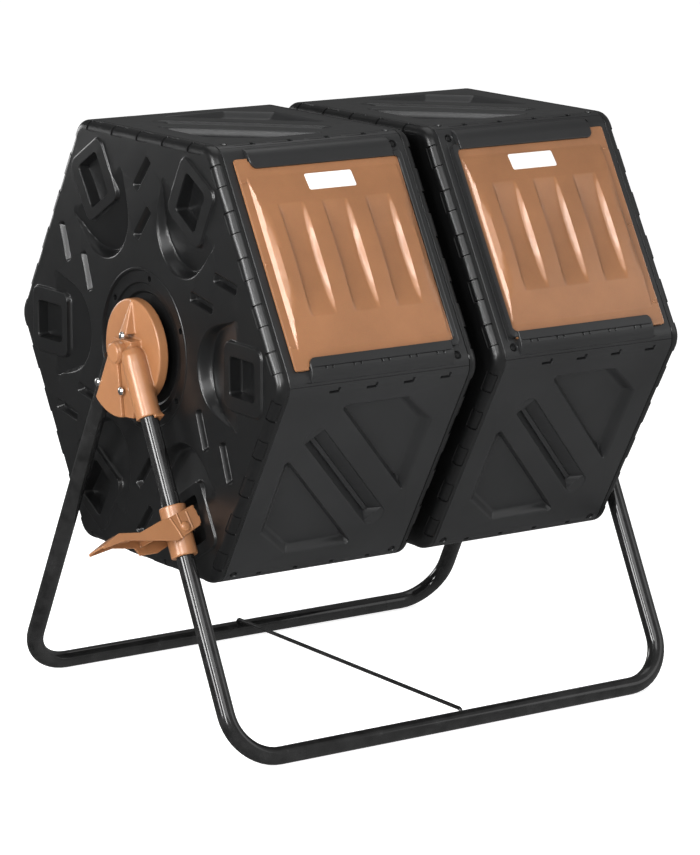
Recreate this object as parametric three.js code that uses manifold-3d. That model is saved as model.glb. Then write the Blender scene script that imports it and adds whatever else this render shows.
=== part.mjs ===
// Twin-chamber compost tumbler on a bent-tube stand. Millimetres, +Z up, front of the doors towards -Y.
// The drum turns about a horizontal axle along X. Each piece is modelled about the axle's middle, and
// the whole group is then lifted so that it stands on z = 0 at the middle of its own bounding box.
import * as THREE from 'three';
import { mergeVertices } from 'three/addons/utils/BufferGeometryUtils.js';
import Module from 'manifold-3d';

const wasm = await Module();
wasm.setup();

// ---------------------------------------------------------------- driving dimensions

const GAP = 0.3; // between pieces that touch

// Drum: two hexagonal chambers side by side
const APOTHEM = 267; // half of the 534 mm across flats
const CORNER_R = 28; // rounding of the six long edges
const CHAMBER_IN = 12.5; // end plane next to the other chamber
const CHAMBER_OUT = 300; // outer end plane
const CHAMBER_MID = (CHAMBER_IN + CHAMBER_OUT) / 2;
const RIM = 14; // width of an end panel's wrap-round rim
const RIM_R = 10; // rounding of that rim
const WALL = 4;
const HEX_STEP = Math.PI / 3;

// Recesses pressed into the side panels
const RECESS_DEPTH = 9;
const SLOT_DEPTH = 10;
const BACKING = 3;

// Pockets in the outer end panels, for the latch
const POCKET_R = 226; // centre, from the axle
const POCKET_RADIAL = 58;
const POCKET_ACROSS = 49;
const POCKET_DEPTH = 15;

// Axle
const BORE_R = 30.3;
const BUSH_R = 30;
const BUSH_BORE_R = 25.5;
const STUB_R = 24.8;
const BOSS_R = 41;
const BOSS_DEPTH = 30;
const RING_OUTER_R = 96;
const RING_INNER_R = 78;
const RING_STEP = 3;

// Doors, in the plane of the front upper face
const DOOR_IN = 45; // inner and outer edges, as distances from the axle's middle
const DOOR_OUT = 275;
const DOOR_HALF = 130; // half height under the rails
const TAB_HALF = 134;
const TAB_WIDTH = 19;
const DOOR_SEAT = 0.6; // gap under the door plate
const DOOR_PLATE = 3.6;
const PILLOW_HALF = 111;
const PILLOW_BREAK = 70;
const PILLOW_RISE = 6.5;
const CROWN = 3;
const SCOOP = 5;
const RIB_WIDTH = 24;
const RIB_PITCH = 62;
const RIB_FIRST = 63.5;
const OPENING_IN = 62;
const OPENING_OUT = 258;
const OPENING_HALF = 108;

// Rails that hold the doors
const RAIL_LIP = 120;
const RAIL_WALL = 131;
const RAIL_BACK = 136;
const RAIL_TOP = 7.2;
const RAIL_LIP_UNDER = 4.8;
const RAIL_OUT = 254;
const RAIL_IN = 42;

// Stand
const TUBE_R = 11;
const TUBE_BORE_R = 9.7;
const TUBE_SIDES = 14;
const LEG_X = 327.5;
const LEG_TOP_Y = 20; // the leg's line passes this far from the axle
const FOOT_Y = 256; // ground tubes, from the middle
const AXLE_HEIGHT = 470;
const FOOT_DROP = AXLE_HEIGHT - TUBE_R; // axle to the ground tubes' centre line
const BEND_R = 60;
const BEND_STEPS = 6;
const LEG_END_X = 237; // where a leg piece meets its ground tube
const SPIGOT_R = 9.3;
const SPIGOT_LENGTH = 26;
const LEG_START = 12; // the tube's top end, down the leg from the axle's level

// Hub castings
const DISC_R = 63.5;
const DISC_FACE = 316;
const DISC_BACK = 302;
const PLATE_FACE = 340;
const EYE_FACE = 342;
const EYE_R = 14;
const SECTOR_R = 80;
const SOCKET_R = 14.5;
const SOCKET_END = 84;
const STUB_END = 265;

// Latch, measured from its pivot on the front left leg
const LATCH_DROP = 225; // pivot, down the leg from the axle's level
const SLEEVE_R = 16.5;
const SLEEVE_UP = 30;
const SLEEVE_DOWN = 33;
const CHEEK_OUT = 19.6;
const CHEEK_IN = 17.2;
const LEVER_REACH = 117;
const NOSE_X = 24.5;
const NOSE_HALF = 9.5;
const PIN_R = 3.5;

// Brace rod between the two ground tubes
const ROD_R = 2.5;
const ROD_Z = 2 * TUBE_R + ROD_R + GAP;

const DEG = Math.PI / 180;
const LEG_TILT = Math.atan2(FOOT_Y - LEG_TOP_Y, FOOT_DROP);

// ---------------------------------------------------------------- materials

const BLACK_PLASTIC = { color: 0x2b2c2e, roughness: 0.5, metalness: 0 };
const COPPER_PLASTIC = { color: 0xb4744a, roughness: 0.45, metalness: 0 };
const BLACK_TUBE = { color: 0x0c0c0d, roughness: 0.18, metalness: 0.3 };
const BRIGHT_STEEL = { color: 0xc9c9c9, roughness: 0.25, metalness: 1 };
const PALE_LABEL = { color: 0xefece4, roughness: 0.5, metalness: 0 };
const BUSH_PLASTIC = { color: 0x1a1a1b, roughness: 0.6, metalness: 0 };

// ---------------------------------------------------------------- solids

function solidOf(geometry) {
  const bare = geometry.clone();
  bare.deleteAttribute('normal');
  bare.deleteAttribute('uv');
  const merged = mergeVertices(bare, 1e-4);
  return new wasm.Manifold(new wasm.Mesh({
    numProp: 3,
    vertProperties: new Float32Array(merged.attributes.position.array),
    triVerts: new Uint32Array(merged.index.array),
  }));
}

function geometryOf(solid) {
  const mesh = solid.getMesh();
  const geometry = new THREE.BufferGeometry();
  geometry.setAttribute('position', new THREE.BufferAttribute(mesh.vertProperties, 3));
  geometry.setIndex(new THREE.BufferAttribute(mesh.triVerts, 1));
  return geometry;
}

function join(...geometries) {
  const solids = geometries.map(solidOf);
  return geometryOf(solids.reduce((whole, piece) => whole.add(piece)));
}

function cut(geometry, ...cutters) {
  const body = solidOf(geometry);
  return geometryOf(cutters.map(solidOf).reduce((whole, cutter) => whole.subtract(cutter), body));
}

function common(a, b) {
  return geometryOf(solidOf(a).intersect(solidOf(b)));
}

// The same piece for the other side of the machine.
function mirrored(geometry) {
  const copy = geometryOf(solidOf(geometry));
  copy.scale(-1, 1, 1);
  const index = copy.index.array;
  for (let i = 0; i < index.length; i += 3) {
    [index[i], index[i + 1]] = [index[i + 1], index[i]];
  }
  return copy;
}

function basis(xAxis, yAxis, zAxis, origin = new THREE.Vector3()) {
  return new THREE.Matrix4().makeBasis(xAxis, yAxis, zAxis).setPosition(origin);
}

const UNIT_X = new THREE.Vector3(1, 0, 0);
const UNIT_Y = new THREE.Vector3(0, 1, 0);
const UNIT_Z = new THREE.Vector3(0, 0, 1);

function polygon(points) {
  return new THREE.Shape(points.map(([x, y]) => new THREE.Vector2(x, y)));
}

function prism(points, depth) {
  return new THREE.ExtrudeGeometry(polygon(points), { depth, bevelEnabled: false });
}

// An outline in the (y, z) plane, carried along X from x0 to x1.
function alongX(points, x0, x1) {
  return prism(points, x1 - x0).applyMatrix4(basis(UNIT_Y, UNIT_Z, UNIT_X)).translate(x0, 0, 0);
}

// A disc or cylinder on an axis parallel to X.
function roundAlongX(radius, x0, x1, y = 0, z = 0, sides = 32) {
  const cylinder = new THREE.CylinderGeometry(radius, radius, x1 - x0, sides);
  return cylinder.rotateZ(Math.PI / 2).translate((x0 + x1) / 2, y, z);
}

function block(x0, x1, y0, y1, z0, z1) {
  const box = new THREE.BoxGeometry(x1 - x0, y1 - y0, z1 - z0);
  return box.translate((x0 + x1) / 2, (y0 + y1) / 2, (z0 + z1) / 2);
}

// A bored tube or pin turned about its own axis, lying from 0 to length along +Y.
function turned(profile, sides = 24) {
  return new THREE.LatheGeometry(profile.map(([r, y]) => new THREE.Vector2(r, y)), sides);
}

// Dome-headed screw: shank along -Y from the head's seat at y = 0.
function domeScrew(headR, headHeight, shankR, length, sides = 12) {
  return turned([
    [0, -length], [shankR, -length], [shankR, 0], [headR, 0], [headR * 0.94, headHeight * 0.45],
    [headR * 0.6, headHeight * 0.86], [0, headHeight],
  ], sides);
}

// Turns a piece that points along +Y so that it points along -X, as the left side's screws do.
function pointingLeft(geometry, x, y, z) {
  return geometry.rotateZ(Math.PI / 2).translate(x, y, z);
}

// ---------------------------------------------------------------- drum panels

// Rounded hexagon with flats at top and bottom, as (y, z) points.
function hexOutline(apothem, radius, steps = 4) {
  const centre = (apothem - radius) / Math.cos(HEX_STEP / 2);
  const points = [];
  for (let corner = 0; corner < 6; corner++) {
    const middle = corner * HEX_STEP;
    for (let i = 0; i <= steps; i++) {
      const angle = middle + (i / steps - 0.5) * HEX_STEP;
      points.push([
        centre * Math.cos(middle) + radius * Math.cos(angle),
        centre * Math.sin(middle) + radius * Math.sin(angle),
      ]);
    }
  }
  return points;
}

// A solid through a row of hexagon outlines [x, apothem, radius].
function hexLoft(stations) {
  const rings = stations.map(([, apothem, radius]) => hexOutline(apothem, radius));
  const count = rings[0].length;
  const positions = [];
  rings.forEach((ring, k) => ring.forEach(([y, z]) => positions.push(stations[k][0], y, z)));
  const first = positions.length / 3;
  positions.push(stations[0][0], 0, 0, stations[stations.length - 1][0], 0, 0);
  const index = [];
  for (let k = 0; k + 1 < rings.length; k++) {
    for (let i = 0; i < count; i++) {
      const a = k * count + i;
      const b = k * count + (i + 1) % count;
      index.push(a, b, b + count, a, b + count, a + count);
    }
  }
  const last = (rings.length - 1) * count;
  for (let i = 0; i < count; i++) {
    index.push(first, (i + 1) % count, i);
    index.push(first + 1, last + i, last + (i + 1) % count);
  }
  const geometry = new THREE.BufferGeometry();
  geometry.setAttribute('position', new THREE.Float32BufferAttribute(positions, 3));
  geometry.setIndex(index);
  return geometry;
}

// Tray-shaped end panel whose outer face is at x = 0 and whose rim reaches to x = RIM.
function endTray() {
  const shell = [];
  for (const angle of [0, 30, 60, 90]) {
    const inset = RIM_R * (1 - Math.sin(angle * DEG));
    shell.push([RIM_R * (1 - Math.cos(angle * DEG)), APOTHEM - inset, CORNER_R - inset]);
  }
  shell.push([RIM, APOTHEM, CORNER_R]);
  const inner = [
    [WALL, APOTHEM - RIM_R, CORNER_R - RIM_R],
    [RIM_R, APOTHEM - WALL, CORNER_R - WALL],
    [RIM + 1, APOTHEM - WALL, CORNER_R - WALL],
  ];
  return cut(hexLoft(shell), hexLoft(inner));
}

function pocketBlock(x0, x1, grow, turn) {
  const half = POCKET_RADIAL / 2 + grow;
  const across = POCKET_ACROSS / 2 + grow;
  return block(x0, x1, POCKET_R - half, POCKET_R + half, -across, across).rotateX(turn);
}

// Outer end panel: bearing recess and bore, and six blind pockets one sixth of a turn apart.
function outerEndPanel() {
  const backs = [roundAlongX(RING_OUTER_R + WALL, 1, RIM, 0, 0, 36)];
  const cutters = [
    roundAlongX(RING_OUTER_R, -1, RING_STEP, 0, 0, 36),
    roundAlongX(RING_INNER_R, 0, 2 * RING_STEP, 0, 0, 36),
    roundAlongX(BORE_R, 0, BOSS_DEPTH + 1, 0, 0, 32),
  ];
  backs.push(roundAlongX(BOSS_R, RIM - 1, BOSS_DEPTH, 0, 0, 24));
  for (let k = 0; k < 6; k++) {
    backs.push(pocketBlock(1, POCKET_DEPTH + WALL, WALL, k * HEX_STEP));
    cutters.push(pocketBlock(-1, POCKET_DEPTH, 0, k * HEX_STEP));
  }
  return cut(join(endTray(), ...backs), ...cutters);
}

// Inner end panel: a plain tray with the coupling ring's seat and its six bolt holes.
function innerEndPanel() {
  const seat = roundAlongX(RING_OUTER_R + WALL, 1, RIM, 0, 0, 36);
  const holes = [];
  for (const angle of COUPLING_ANGLES) {
    const y = COUPLING_BOLT_R * Math.cos(angle * DEG);
    const z = COUPLING_BOLT_R * Math.sin(angle * DEG);
    holes.push(roundAlongX(COUPLING_HOLE_R, -1, RIM + 1, y, z, 12));
  }
  return cut(join(endTray(), seat), ...holes);
}

// The drum's faces: angle of the outward normal from +Y (back) towards +Z.
const DOOR_FACE = 150;
const CLOSED_FACES = {
  back_upper: 30,
  top: 90,
  front_lower: 210,
  bottom: 270,
  back_lower: 330,
};

// Cross-section of one side panel with its outward normal along +Y of the sketch: it runs from one
// long edge's middle to the next, so each panel carries half of each rounded corner.
function panelSection() {
  const centre = APOTHEM - CORNER_R;
  const along = centre * Math.tan(HEX_STEP / 2);
  const steps = 3;
  const sweep = HEX_STEP / 2 - 0.35 * DEG;
  const outer = [];
  const inner = [];
  for (let i = -steps; i <= steps; i++) {
    const side = Math.sign(i) || 1;
    const angle = (Math.abs(i) / steps) * sweep;
    for (const s of i === 0 ? [-1, 1] : [side]) {
      outer.push([s * (along + CORNER_R * Math.sin(angle)), centre + CORNER_R * Math.cos(angle)]);
      inner.push([
        s * (along + (CORNER_R - WALL) * Math.sin(angle)),
        centre + (CORNER_R - WALL) * Math.cos(angle),
      ]);
    }
  }
  return [...outer, ...inner.reverse()].reverse();
}

// Places a piece sketched with x along the axle, s up the face and n outwards onto one face.
function onFace(geometry, angle) {
  const normal = new THREE.Vector3(0, Math.cos(angle * DEG), Math.sin(angle * DEG));
  const up = new THREE.Vector3().crossVectors(normal, UNIT_X);
  return geometry.applyMatrix4(basis(UNIT_X, up, normal));
}

// Closed outline in (x, s), raised between two heights along the face's normal.
function raised(points, n0, n1) {
  return prism(points, n1 - n0).translate(0, 0, n0);
}

function grown(points, amount) {
  const cx = points.reduce((sum, p) => sum + p[0], 0) / points.length;
  const cy = points.reduce((sum, p) => sum + p[1], 0) / points.length;
  return points.map(([x, y]) => {
    const length = Math.hypot(x - cx, y - cy);
    const scale = (length + amount * 1.5) / length;
    return [cx + (x - cx) * scale, cy + (y - cy) * scale];
  });
}

// The three recesses of a closed side panel, about the panel's own centre: two bevelled triangles
// either side of a long diagonal slot.
const UPPER_TRIANGLE = [[-44, 112], [-38, 119], [50, 119], [98, 78], [101, -30], [94, -38]];
const LOWER_TRIANGLE = UPPER_TRIANGLE.map(([x, s]) => [-x, -s]);

function diagonalSlot() {
  const half = 15;
  const reach = 92;
  const points = [];
  for (const end of [0, 1]) {
    for (let i = 0; i <= 4; i++) {
      const angle = (i / 4) * Math.PI + (end ? Math.PI : 0);
      points.push([-half * Math.cos(angle), half * Math.sin(angle) + (end ? -reach : reach)]);
    }
  }
  const turn = 45 * DEG;
  return points.map(([x, s]) => [
    x * Math.cos(turn) - s * Math.sin(turn),
    x * Math.sin(turn) + s * Math.cos(turn),
  ]);
}

const RECESSES = [
  { outline: UPPER_TRIANGLE, depth: RECESS_DEPTH },
  { outline: LOWER_TRIANGLE, depth: RECESS_DEPTH },
  { outline: diagonalSlot(), depth: SLOT_DEPTH },
];

// Bare panel sheet between the two rims, with x along the axle and the normal along +Z.
function panelSheet() {
  const x0 = CHAMBER_IN + RIM + GAP;
  const x1 = CHAMBER_OUT - RIM - GAP;
  return prism(panelSection(), x1 - x0)
    .applyMatrix4(basis(UNIT_Y, UNIT_Z, UNIT_X))
    .translate(x0, 0, 0);
}

function closedPanel() {
  const backs = [];
  const cutters = [];
  for (const { outline, depth } of RECESSES) {
    const placed = outline.map(([x, s]) => [x + CHAMBER_MID, s]);
    backs.push(raised(grown(placed, BACKING), APOTHEM - depth - BACKING, APOTHEM - 1));
    cutters.push(raised(placed, APOTHEM - depth, APOTHEM + 1));
  }
  return cut(join(panelSheet(), ...backs), ...cutters);
}

function doorFrame() {
  const opening = block(
    OPENING_IN, OPENING_OUT, -OPENING_HALF, OPENING_HALF, APOTHEM - 2 * WALL, APOTHEM + WALL,
  );
  return cut(panelSheet(), opening);
}

// One door rail: a wall on the panel with a lip over the door plate. upper is 1 or -1.
function rail(upper) {
  const section = [
    [upper * RAIL_LIP, APOTHEM + RAIL_LIP_UNDER],
    [upper * RAIL_WALL, APOTHEM + RAIL_LIP_UNDER],
    [upper * RAIL_WALL, APOTHEM + GAP],
    [upper * RAIL_BACK, APOTHEM + GAP],
    [upper * RAIL_BACK, APOTHEM + RAIL_TOP],
    [upper * RAIL_LIP, APOTHEM + RAIL_TOP],
  ];
  return prism(section, RAIL_OUT - RAIL_IN)
    .applyMatrix4(basis(UNIT_Y, UNIT_Z, UNIT_X))
    .translate(RAIL_IN, 0, 0);
}

// ---------------------------------------------------------------- doors

// Height of the door's skin above its plate. Four ribs are crowned, and the skin between them dips.
function skinHeight(s, onRib) {
  const distance = Math.abs(s);
  if (distance > PILLOW_BREAK) {
    return PILLOW_RISE * (PILLOW_HALF - distance) / (PILLOW_HALF - PILLOW_BREAK);
  }
  const bow = 1 - (s / PILLOW_BREAK) ** 2;
  return PILLOW_RISE + (onRib ? CROWN : -SCOOP) * bow;
}

function skinProfile(onRib) {
  const stations = [];
  for (let s = -PILLOW_BREAK; s <= PILLOW_BREAK; s += PILLOW_BREAK / 4) stations.push(s);
  const base = APOTHEM + DOOR_SEAT + DOOR_PLATE;
  return [
    [-PILLOW_HALF, base - 1],
    [PILLOW_HALF, base - 1],
    ...stations.reverse().map((s) => [s, base + skinHeight(s, onRib)]),
  ];
}

// Extrudes a side profile given in (s, n) along the axle.
function skinBar(profile, x0, x1) {
  return prism(profile, x1 - x0).applyMatrix4(basis(UNIT_Y, UNIT_Z, UNIT_X)).translate(x0, 0, 0);
}

function door() {
  const n0 = APOTHEM + DOOR_SEAT;
  const n1 = n0 + DOOR_PLATE;
  const plate = block(DOOR_IN, DOOR_OUT, -DOOR_HALF, DOOR_HALF, n0, n1);
  const tab = block(DOOR_OUT - TAB_WIDTH, DOOR_OUT, -TAB_HALF, TAB_HALF, n0, n1);
  const bars = [skinBar(skinProfile(false), RIB_FIRST - RIB_WIDTH / 2 + 1,
    RIB_FIRST + 3 * RIB_PITCH + RIB_WIDTH / 2 - 1)];
  for (let k = 0; k < 4; k++) {
    const middle = RIB_FIRST + k * RIB_PITCH;
    bars.push(skinBar(skinProfile(true), middle - RIB_WIDTH / 2, middle + RIB_WIDTH / 2));
  }
  const solid = join(plate, tab, ...bars);
  const hollow = block(
    RIB_FIRST - 6, RIB_FIRST + 3 * RIB_PITCH + 6, -PILLOW_BREAK, PILLOW_BREAK, n0 - 1, n1 - 1,
  );
  return cut(solid, hollow);
}

// Blank label plate on the door's upper sloping band.
function label() {
  const slope = Math.atan2(PILLOW_RISE, PILLOW_HALF - PILLOW_BREAK);
  const middle = 97;
  const height = APOTHEM + DOOR_SEAT + DOOR_PLATE + skinHeight(middle, false);
  return block(-33, 33, -11, 11, GAP, GAP + 0.6)
    .rotateX(-slope)
    .translate(CHAMBER_MID, middle, height);
}

// ---------------------------------------------------------------- axle and coupling

const COUPLING_BOLT_R = 86;
const COUPLING_HOLE_R = 4.4;
const COUPLING_ANGLES = [30, 150, 270];

function axleBush() {
  const flangeR = 38;
  const flange = 2.6;
  const profile = [
    [BUSH_BORE_R, RING_STEP], [flangeR, RING_STEP], [flangeR, RING_STEP + flange],
    [BUSH_R, RING_STEP + flange], [BUSH_R, BOSS_DEPTH], [BUSH_BORE_R, BOSS_DEPTH],
    [BUSH_BORE_R, RING_STEP],
  ];
  return turned(profile, 32).rotateZ(-Math.PI / 2);
}

function couplingRing() {
  const half = CHAMBER_IN - GAP;
  const ring = turned([
    [70, -half], [97, -half], [97, half], [70, half], [70, -half],
  ], 36).rotateZ(-Math.PI / 2);
  const holes = COUPLING_ANGLES.map((angle) => roundAlongX(
    COUPLING_HOLE_R, -half - 1, half + 1,
    COUPLING_BOLT_R * Math.cos(angle * DEG), COUPLING_BOLT_R * Math.sin(angle * DEG), 12,
  ));
  return cut(ring, ...holes);
}

// Through bolt with a hexagon head at one end and a nut at the other.
function couplingBolt(angle) {
  const end = CHAMBER_IN + RIM + GAP;
  const shank = turned([[0, -end], [4, -end], [4, end], [0, end]], 12);
  const head = turned([[0, end], [7.5, end], [7.5, end + 5], [0, end + 5]], 6);
  const nut = turned([[0, -end - 6], [7.5, -end - 6], [7.5, -end], [0, -end]], 6);
  return join(shank, head, nut)
    .rotateZ(-Math.PI / 2)
    .translate(0, COUPLING_BOLT_R * Math.cos(angle * DEG), COUPLING_BOLT_R * Math.sin(angle * DEG));
}

// ---------------------------------------------------------------- stand tubes

// A route through given points with given directions, one extrusion step for each stretch.
class Route extends THREE.Curve {
  constructor(points, directions) {
    super();
    this.points = points;
    this.directions = directions;
  }

  getPoint(t, target = new THREE.Vector3()) {
    const place = t * (this.points.length - 1);
    const k = Math.min(Math.floor(place), this.points.length - 2);
    return target.lerpVectors(this.points[k], this.points[k + 1], place - k);
  }

  getTangent(t, target = new THREE.Vector3()) {
    return target.copy(this.directions[Math.round(t * (this.points.length - 1))]);
  }

  getUtoTmapping(u) {
    return u;
  }
}

function circlePoints(radius, sides, turn = 0) {
  const points = [];
  for (let i = 0; i < sides; i++) {
    const angle = turn + (i / sides) * 2 * Math.PI;
    points.push(new THREE.Vector2(radius * Math.cos(angle), radius * Math.sin(angle)));
  }
  return points;
}

function swept(route, radius, boreRadius, sides) {
  const section = new THREE.Shape(circlePoints(radius, sides));
  if (boreRadius) section.holes.push(new THREE.Path(circlePoints(boreRadius, sides).reverse()));
  return new THREE.ExtrudeGeometry(section, {
    steps: route.points.length - 1,
    extrudePath: route,
  });
}

// Direction down a leg, and the point on its line level with the axle. front is -1, back is 1.
function legLine(front) {
  return {
    top: new THREE.Vector3(-LEG_X, front * LEG_TOP_Y, 0),
    down: new THREE.Vector3(0, front * Math.sin(LEG_TILT), -Math.cos(LEG_TILT)),
  };
}

function downLeg(front, distance) {
  const { top, down } = legLine(front);
  return top.clone().addScaledVector(down, distance);
}

// Left leg: straight tube, a quarter bend inwards, and a short straight end for the ground tube.
function legTube(front) {
  const { down } = legLine(front);
  const total = FOOT_DROP / Math.cos(LEG_TILT);
  const bendStart = downLeg(front, total - BEND_R);
  const centre = bendStart.clone().addScaledVector(UNIT_X, BEND_R);
  const points = [downLeg(front, LEG_START)];
  const directions = [down.clone()];
  for (let i = 0; i <= BEND_STEPS; i++) {
    const angle = (i / BEND_STEPS) * (Math.PI / 2);
    points.push(centre.clone()
      .addScaledVector(UNIT_X, -BEND_R * Math.cos(angle))
      .addScaledVector(down, BEND_R * Math.sin(angle)));
    directions.push(down.clone().multiplyScalar(Math.cos(angle))
      .addScaledVector(UNIT_X, Math.sin(angle)));
  }
  const end = points[points.length - 1].clone();
  end.x = -LEG_END_X;
  points.push(end);
  directions.push(UNIT_X.clone());
  return swept(new Route(points, directions), TUBE_R, TUBE_BORE_R, TUBE_SIDES);
}

// Cylinder of a given radius on the leg's line between two distances down the leg.
function onLeg(front, radius, from, to, sides = 20) {
  const { down } = legLine(front);
  const across = new THREE.Vector3().crossVectors(UNIT_X, down.clone().negate());
  const cylinder = new THREE.CylinderGeometry(radius, radius, to - from, sides);
  const middle = downLeg(front, (from + to) / 2);
  return cylinder.applyMatrix4(basis(UNIT_X, down.clone().negate(), across, middle));
}

// Ground tube with a flat facet underneath and a reduced spigot at each end.
function groundTube(front) {
  const facet = Math.PI / TUBE_SIDES;
  const ends = LEG_END_X - GAP;
  const y = front * FOOT_Y;
  const tube = new THREE.CylinderGeometry(
    TUBE_R / Math.cos(facet), TUBE_R / Math.cos(facet), 2 * ends, TUBE_SIDES,
  ).rotateY(facet).rotateZ(Math.PI / 2);
  const spigots = roundAlongX(SPIGOT_R, -ends - SPIGOT_LENGTH, ends + SPIGOT_LENGTH, 0, 0, 12);
  const bore = roundAlongX(
    SPIGOT_R - 1.3, -ends - SPIGOT_LENGTH - 1, ends + SPIGOT_LENGTH + 1, 0, 0, 12,
  );
  const body = cut(join(tube, spigots), bore);
  const hook = new THREE.CylinderGeometry(ROD_R + 1, ROD_R + 1, TUBE_R, 10)
    .rotateX(Math.PI / 2)
    .translate(0, 0, TUBE_R);
  const slot = block(-ROD_R - 1, ROD_R + 1, -6, 6, 4, 2 * TUBE_R);
  return cut(body, front > 0 ? slot : hook).translate(0, y, -FOOT_DROP);
}

// Wire brace laid across the two ground tubes, with both ends bent down into holes in their tops.
function braceRod() {
  const reach = 7;
  const bend = 4;
  const z = ROD_Z - AXLE_HEIGHT;
  const points = [];
  const directions = [];
  const add = (y, dz, dy, ddz) => {
    points.push(new THREE.Vector3(0, y, z + dz));
    directions.push(new THREE.Vector3(0, dy, ddz).normalize());
  };
  add(FOOT_Y, -reach, 0, 1);
  for (let i = 0; i <= 3; i++) {
    const a = (i / 3) * (Math.PI / 2);
    add(FOOT_Y - bend * (1 - Math.cos(a)), -bend + bend * Math.sin(a), -Math.sin(a), Math.cos(a));
  }
  for (let i = 0; i <= 3; i++) {
    const a = (i / 3) * (Math.PI / 2);
    add(-FOOT_Y + bend * (1 - Math.sin(a)), -bend + bend * Math.cos(a), -Math.cos(a), -Math.sin(a));
  }
  add(-FOOT_Y, -reach, 0, -1);
  return swept(new Route(points, directions), ROD_R, 0, 8);
}

// ---------------------------------------------------------------- hubs (left side)

// Boundary between the two castings, as (y, z) points from the eye down to the lower edge.
const SEAM_TOP = [-4, -13.4];
const SEAM_END = [-14, -78.7];

function arc(radius, from, to, steps) {
  const points = [];
  for (let i = 0; i <= steps; i++) {
    const angle = (from + (i / steps) * (to - from)) * DEG;
    points.push([radius * Math.cos(angle), radius * Math.sin(angle)]);
  }
  return points;
}

// Fixed disc with the axle stub, the front leg's socket and the block that carries both.
function hubDisc() {
  const front = -1;
  const body = [
    roundAlongX(DISC_R, -DISC_FACE, -DISC_BACK, 0, 0, 40),
    roundAlongX(STUB_R, -DISC_BACK - 1, -STUB_END, 0, 0, 32),
    onLeg(front, SOCKET_R, 4, SOCKET_END, 24),
    alongX([
      [SEAM_TOP[0] - 0.6, SEAM_TOP[1]], [12, 8], [9, 26], [-12, 26], [-30, 10], [-35, 2],
      [-70, -66], [-47, -79], [SEAM_END[0] - 0.6, SEAM_END[1]],
    ], -PLATE_FACE, -DISC_FACE + 1),
    gusset(),
  ];
  return cut(
    join(...body),
    roundAlongX(EYE_R + 0.4, -PLATE_FACE - 5, -DISC_FACE - GAP, 0, 0, 32),
    onLeg(front, TUBE_R + GAP, LEG_START - 1, SOCKET_END + 30, 24),
    onLeg(1, TUBE_R + 2, -30, 2 * SOCKET_END, 24),
    roundAlongX(3.3, -STUB_END - 24, -STUB_END + 1, 0, 0, 12),
    ...hubScrewHoles(),
  );
}

// Rib that rises from the disc's upper edge to the block's top face.
function gusset() {
  const side = [[60, DISC_FACE - 1], [60, DISC_FACE], [24, PLATE_FACE - 4], [24, DISC_FACE - 1]];
  return prism(side, 13)
    .applyMatrix4(basis(UNIT_Z, UNIT_X.clone().negate(), UNIT_Y.clone().negate()))
    .translate(0, 5, 0);
}

// Back leg's casting: a sector plate with an eye round the axle line.
function rearLegPlate() {
  const start = Math.atan2(SEAM_END[1], SEAM_END[0]) / DEG;
  const outline = [
    ...arc(SECTOR_R, start, -52.5, 8),
    ...arc(EYE_R, 14.5, 253.4, 10),
  ];
  const eye = roundAlongX(EYE_R - 1.5, -EYE_FACE, -PLATE_FACE + 1, 0, 0, 24);
  const plate = join(alongX(outline, -PLATE_FACE, -DISC_FACE - GAP), eye);
  return cut(
    plate,
    onLeg(1, TUBE_R + GAP, LEG_START - 1, SECTOR_R + 40, 24),
    onLeg(-1, SOCKET_R + GAP, 0, SECTOR_R + 40, 24),
    ...hubScrewHoles(),
  );
}

// Screws through the castings, as [name, y, z]: into the back leg, and into the block.
const HUB_SCREWS = [
  ['rear', 42.6, -44],
  ['front', -13, -46],
  ['top', 0, 19.5],
];
const HUB_SCREW_R = 2.5;

function hubScrewHoles() {
  return HUB_SCREWS.map(([, y, z]) => roundAlongX(
    HUB_SCREW_R + GAP, -PLATE_FACE - 4, -DISC_FACE + 8, y, z, 12,
  ));
}

function hubScrew(y, z) {
  return pointingLeft(domeScrew(5, 3, HUB_SCREW_R, 18), -PLATE_FACE - GAP, y, z);
}

// Washer and screw on the stub's inner end, which keep the drum on its axle.
function axleRetainer() {
  return turned([
    [4.3, 0], [36, 0], [36, 3], [4.3, 3], [4.3, 0],
  ], 24).rotateZ(-Math.PI / 2).translate(-STUB_END + GAP, 0, 0);
}

function axleScrew() {
  return domeScrew(9, 5, 3, 22)
    .rotateZ(-Math.PI / 2)
    .translate(-STUB_END + 3 + 2 * GAP, 0, 0);
}

// ---------------------------------------------------------------- latch

// The latch's own frame: x along the axle, y up the leg, z square to both, origin at the pivot.
function onLatch(geometry) {
  const up = legLine(-1).down.clone().negate();
  const across = new THREE.Vector3().crossVectors(UNIT_X, up);
  return geometry.applyMatrix4(basis(UNIT_X, up, across, downLeg(-1, LATCH_DROP)));
}

function latchSleeve() {
  const profile = [
    [TUBE_R + GAP, -SLEEVE_DOWN], [SLEEVE_R, -SLEEVE_DOWN], [SLEEVE_R, SLEEVE_UP],
    [TUBE_R + GAP, SLEEVE_UP], [TUBE_R + GAP, -SLEEVE_DOWN],
  ];
  return onLatch(cut(turned(profile, 24), pinBore(PIN_R + GAP)));
}

function pinBore(radius) {
  return new THREE.CylinderGeometry(radius, radius, 80, 12).rotateX(Math.PI / 2);
}

// Side view of the lever: nose at +x, handle at -x. The rear cheek is deeper next to the leg.
const LEVER_TOP = [[-LEVER_REACH, -8], [-92, 4], [-63, 1], [-33, 11], [-21, 13]];
const FRONT_EDGE = [[-15, -16], [-84, -6]];
const REAR_EDGE = [[-15, -16], [-25, -20], [-50, -20], [-55, -10], [-84, -6]];
const WEB = 2.4;

function flatBar(points, z0, z1) {
  return prism(points, z1 - z0).translate(0, 0, z0);
}

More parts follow.
